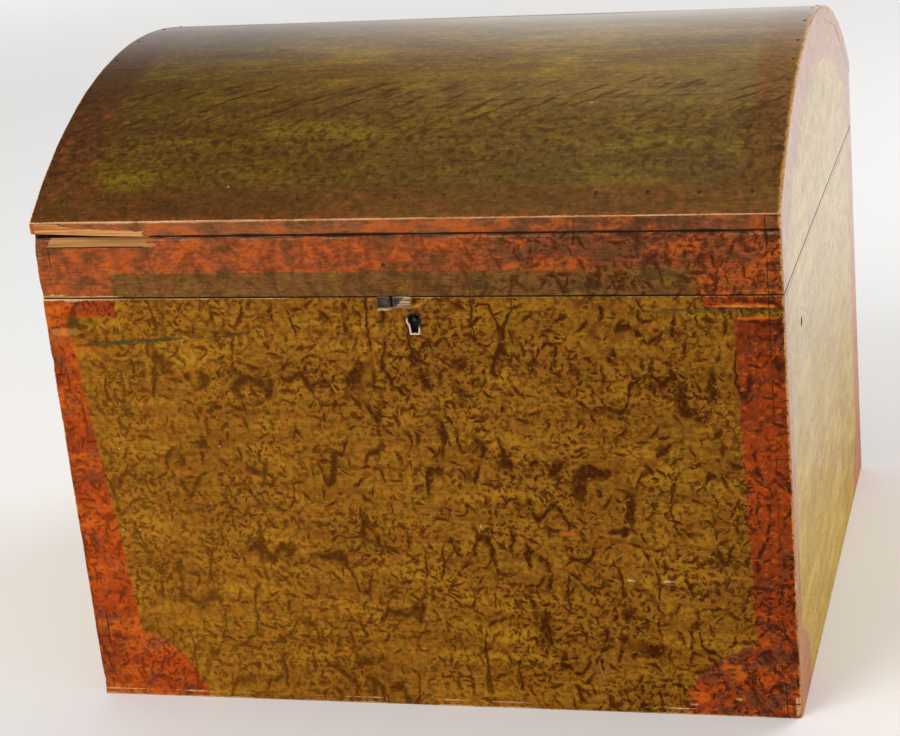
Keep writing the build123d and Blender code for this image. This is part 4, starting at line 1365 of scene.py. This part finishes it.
def paintDome(name):
    material, shader, spot = newFinish(name)
    face = faceOf(spot, "dome")
    x, up, shake, mottle, inX = face.x, face.up, face.shake, face.mottle, face.inX
    edge = domeEdge * domeRadius
    lipIn = edge - abs(up) + shake
    sideIn = face.leftIn.least(face.rightIn + 0.007)
    cornerWide, cornerHigh = border["domeCorner"]
    red = (border["domeSide"] - sideIn).most(border["domeFront"] - lipIn)
    red = red.most(ring(sideIn, cornerWide, lipIn, cornerHigh))
    redness = red.fade(*border["domeEdge"])
    toRight = x.fade(-0.22, 0.16)
    coloured = domeColour(face, toRight, lipIn, red, redness)
    marks, soft = domework(spot, face.flat, up)
    coloured = lay(coloured, "domeDark", soft * 0.7)
    crown = 1 - abs(up).fade(0.12, 0.16)
    crumbs = spot.moved(7, 3, 1).noise(270.0, 3.0, 0.7)
    uneven = 0.40 + face.grain * 1.25 + (crumbs - 0.5) * 1.25
    # The crown is painted darker at its left: painted shade.
    coloured = toned(coloured, uneven * (1 - 0.30 * (1 - x.fade(-0.20, -0.02)) * crown))
    # A painted sheen: the crown lightened and hazed grey, more towards the right.
    paintedSheen = x.fade(-0.12, 0.22) * (0.08 + 0.12 * crown) * (1 - redness * 0.6)
    coloured = toned(lay(coloured, "haze", paintedSheen), 1 + crown * 0.18 - redness * 0.10)
    # Painted light also fades the figure towards the right.
    marks = marks * (1 - 0.25 * toRight)
    coloured = lay(coloured, lay("domeDark", "plum", redness), marks)
    rightEdge = (inX - shake * 0.9 + (mottle - 0.5) * 0.004).fade(0.0010, 0.0026)
    coloured = lay(coloured, "domeWorn", (1 - rightEdge) * x.fade(0.1, 0.2) * 0.8)

    bare, _, wood = wornWood(face, inX.least((edge - abs(up)) * 1.6))
    coloured = lay(coloured, wood, bare)
    coats = (1 - abs(up).fade(0.02, 0.11) * 0.80, 0.62 + 0.38 * toRight)  # worn on the crown
    varnish(shader, face, "dome", coloured, bare, brushHeight(face, marks, bare), coats)
    return material


pine = {
    "inside": {"light": (0.43, 0.27, 0.13), "dark": (0.27, 0.150, 0.065)},
    "bottom": {"light": (0.33, 0.20, 0.10), "dark": (0.19, 0.11, 0.055)},
    "hollow": (-0.186, -0.200, 0.330),  # painted shade inside the lid's split corner
}


def pineFinish(name, place, scale):
    # Unpainted pine, drawn out along the board, darker along the seam where the box shuts, and
    # with painted shade in the lid's split corner.
    material, shader, spot = newFinish(name)
    x, y, height = spot.parts()
    bands = spot.scaled(*scale).noise(1.0, 4.0, 0.6, 0.6)
    fine = spot.scaled(*(v * 5 for v in scale)).noise(1.0, 2.0, 0.6)
    stain = spot.noise(9.0, 3.0, 0.6)
    hollowX, hollowY, hollowZ = pine["hollow"]
    hollow = (hollowX - x).fade(0, 0.012) * (hollowY - y).fade(0, 0.006)
    amount = (bands * 0.75 + fine * 0.3).fade(0.35, 0.7)
    base = washed(
        lay(pine[place]["light"], pine[place]["dark"], amount),
        ("grime", stain.fade(0.5, 0.8) * 0.35),
        # Darker along the seam where the box shuts.
        ("grime", (1 - abs(height - seamHeight).fade(0.0006, 0.0016)) * 0.85),
        # Painted shade inside the lid's split corner.
        ("grime", hollow * (height - hollowZ).fade(0, 0.004) * 0.95),
    )
    bump = bumped(spot, 0.3, 0.0005, bands + fine)
    feed(shader, base=base, rough=0.62 + 0.2 * fine, normal=bump, specular=0.15)
    return material


iron = {
    "hingeIron": {"light": (0.17, 0.15, 0.13), "dark": (0.06, 0.052, 0.048),
                  "rust": (0.15, 0.05, 0.02), "roughLow": 0.42, "shine": 0.85, "specular": 0.5},
    "nailIron": {"light": (0.095, 0.042, 0.015), "dark": (0.036, 0.015, 0.006),
                 "rust": (0.10, 0.036, 0.012), "roughLow": 0.7, "shine": 0.0, "specular": 0.1},
    "lockIron": {"light": (0.100, 0.080, 0.062), "dark": (0.024, 0.019, 0.016),
                 "splinterFoot": 0.2890, "splinterTop": 0.2963, "splinterX": 0.0002,
                 "slitLeft": 0.0065, "slitFoot": 0.285},
    "linerMetal": {"light": (0.66, 0.53, 0.40), "dark": (0.020, 0.014, 0.010)},
}


def ironFinish(name):
    material, shader, spot = newFinish(name)
    look = iron[name]
    patches = spot.noise(210.0, 4.0, 0.65)
    pits = spot.noise(1500.0, 3.0, 0.6)
    base = lay(look["dark"], look["light"], patches.fade(0.35, 0.65))
    base = lay(base, look["rust"], (patches * 0.5 + pits * 0.5).fade(0.52, 0.66) * 0.7)
    feed(shader, base=base, metal=look["shine"] * (1 - 0.6 * patches.fade(0.5, 0.7)),
         rough=look["roughLow"] + 0.25 * pits, normal=bumped(spot, 0.35, 0.0002, pits),
         specular=look["specular"])
    return material


def lockFinish(name):
    # Dull iron, with a slit painted dark as painted shade, and splinters over the plate.
    material, shader, spot = newFinish(name)
    look = iron[name]
    x, _, z = spot.parts()
    patches = spot.noise(260.0, 4.0, 0.65)
    pits = spot.noise(1500.0, 3.0, 0.6)
    base = lay(look["dark"], look["light"], (patches * 0.6 + pits * 0.4).fade(0.38, 0.62))
    ragged = (spot.scaled(0.5, 1, 1).noise(800.0, 3.0, 0.7) - 0.5) * 0.005
    splinter = x + look["splinterX"] - (z - 0.2935) * 0.9 + ragged
    splinter = splinter.least(z - look["splinterFoot"]).fade(-0.0003, 0.0004)
    splinter = splinter.most((z - look["splinterTop"] + ragged * 0.3).fade(0, 0.0003))
    fibres = spot.scaled(60, 60, 1600).noise(1.0, 2.0).fade(0.38, 0.62)
    base = lay(base, lay("smoke", "rawPale", fibres), splinter * 0.85)
    # The slot painted dark: painted shade for its opening.
    slit = 1 - abs(x + look["slitLeft"] + ragged * 0.1).fade(0.0007, 0.0012)
    slit = slit * (z - look["slitFoot"]).fade(0, 0.001)
    base = lay(base, "grime", slit)
    feed(shader, base=base, metal=(1 - splinter) * (1 - slit) * 0.5, rough=0.55 + 0.25 * pits,
         normal=bumped(spot, 0.35, 0.0002, pits), specular=0.2)
    return material


def linerFinish(name):
    # The keyhole's thin liner, bright only at its lower left: a painted highlight where light
    # falls on it.
    material, shader, spot = newFinish(name)
    x, _, z = spot.parts()
    middleX, middleZ, _ = lock["keyhole"]
    # A painted highlight on the liner's lower left.
    paintedLight = ((middleX - x) * 0.8 + (middleZ - z) + (spot.noise(700.0, 2.0) - 0.5) * 0.004)
    paintedLight = paintedLight.fade(0.0008, 0.0038)
    feed(shader, base=lay(iron[name]["dark"], iron[name]["light"], paintedLight), metal=0.4 * paintedLight,
         rough=0.45 - 0.1 * paintedLight, specular=0.2)
    return material


finishes = {
    "front": paintFront("paintFront"),
    "end": paintEnd("paintEnds"),
    "dome": paintDome("paintDome"),
    "inside": pineFinish("insidePine", "inside", (5, 160, 160)),
    "insideEnds": pineFinish("insidePineEnds", "inside", (160, 5, 160)),
    "bottom": pineFinish("bottomPine", "bottom", (5, 160, 160)),
}
metals = {
    "lock_iron": lockFinish("lockIron"),
    "hinge_iron": ironFinish("hingeIron"),
    "nail_iron": ironFinish("nailIron"),
    "liner_metal": linerFinish("linerMetal"),
}
print("finishes made")

for label, (piece, node, body) in pieces.items():
    bottom = label.startswith("bottom")
    alongY = "End" in label
    bareFinish = "bottom" if bottom else "insideEnds" if alongY else "inside"
    for kind in ("front", "end", "dome", bareFinish):
        piece.data.materials.append(finishes[kind])
    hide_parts(node)
    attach(piece, body)

slots = {entry["node"]: entry["material_slot"] for entry in frame["record"]["subparts"]}
for node, shown in frame["nodes"].items():
    if slots[node] in metals:
        for place in shown.material_slots:
            place.material = metals[slots[node]]
print("pieces dressed")


# The stage, the lights and the camera.
stage = {
    "floorSize": 12.0,
    "floorColour": (0.90, 0.885, 0.87),
    "floorRough": 0.75,
    "floorFade": (1.8, 4.2),  # it thins out into the white from here to here
    "worldLight": 0.62,
    "keyLight": {"place": (-1.3, -2.2, 2.0), "aim": (0, 0, 0.2), "size": (1.6, 1.2), "power": 42},
    "backLight": {"place": (1.6, 1.6, 1.9), "aim": (0, 0, 0.3), "size": (1.4, 1.4), "power": 26},
}


def makeStage():
    size = stage["floorSize"]
    mesh = bpy.data.meshes.new("floor")
    corners = [(-size, -size, 0), (size, -size, 0), (size, size, 0), (-size, size, 0)]
    mesh.from_pydata(corners, [], [(0, 1, 2, 3)])
    floor = bpy.data.objects.new("floor", mesh)
    bpy.context.collection.objects.link(floor)
    material, shader, spot = newFinish("floorPaint")
    x, y, _ = spot.parts()
    far = (squared(x) + squared(y)).root()
    feed(shader, base=(*stage["floorColour"], 1), rough=stage["floorRough"],
         alpha=1 - far.fade(*stage["floorFade"]))
    mesh.materials.append(material)


def makeLight(name, place, aim, size, power):
    lamp = bpy.data.lights.new(name, "AREA")
    lamp.shape = "RECTANGLE"
    lamp.size, lamp.size_y = size
    lamp.energy = power
    shown = bpy.data.objects.new(name, lamp)
    shown.location = place
    shown.rotation_euler = (Vector(aim) - Vector(place)).to_track_quat("-Z", "Y").to_euler()
    bpy.context.collection.objects.link(shown)


def makeWorld():
    world = bpy.data.worlds.new("studio")
    bpy.context.scene.world = world
    world.use_nodes = True
    tree = world.node_tree
    tree.nodes.clear()
    rays = Wire(tree).node("LightPath")
    white = rays.out("Is Camera Ray").most(rays.out("Is Glossy Ray"))
    white = white.most(rays.out("Is Transmission Ray"))
    strength = stage["worldLight"] + (1 - stage["worldLight"]) * white
    background = rays.node("Background", links={"Color": (1, 1, 1, 1), "Strength": strength})
    output = tree.nodes.new("ShaderNodeOutputWorld")
    tree.links.new(background.socket, output.inputs["Surface"])


view = {
    "place": (0.4254, -1.5139, 0.7221),
    "tilt": 19.59,
    "yaw": 13.30,
    "roll": -4.39,
    "focalPixels": 2200,
    "wide": 900,
    "sensor": 36.0,
    "shiftX": -0.15,
}


def makeCamera():
    tilt, yaw, roll = (math.radians(view[k]) for k in ("tilt", "yaw", "roll"))
    level = Vector((-math.sin(yaw), math.cos(yaw), 0))
    right = Vector((math.cos(yaw), math.sin(yaw), 0))
    above = Vector((0, 0, 1))
    ahead = math.cos(tilt) * level - math.sin(tilt) * above
    upright = math.sin(tilt) * level + math.cos(tilt) * above
    sideways = math.cos(roll) * right + math.sin(roll) * upright
    upright = math.cos(roll) * upright - math.sin(roll) * right
    data = bpy.data.cameras.new("camera")
    data.sensor_width = view["sensor"]
    data.lens = view["focalPixels"] * data.sensor_width / view["wide"]
    data.shift_x = view["shiftX"]
    camera = bpy.data.objects.new("camera", data)
    turn = Matrix((sideways, upright, -ahead)).transposed().to_4x4()
    camera.matrix_world = Matrix.Translation(view["place"]) @ turn
    bpy.context.collection.objects.link(camera)
    bpy.context.scene.camera = camera


makeStage()
makeWorld()
for lamp in ("keyLight", "backLight"):
    makeLight(lamp, **stage[lamp])
makeCamera()
bpy.context.scene.view_settings.view_transform = "Standard"
print("stage, light and camera set")
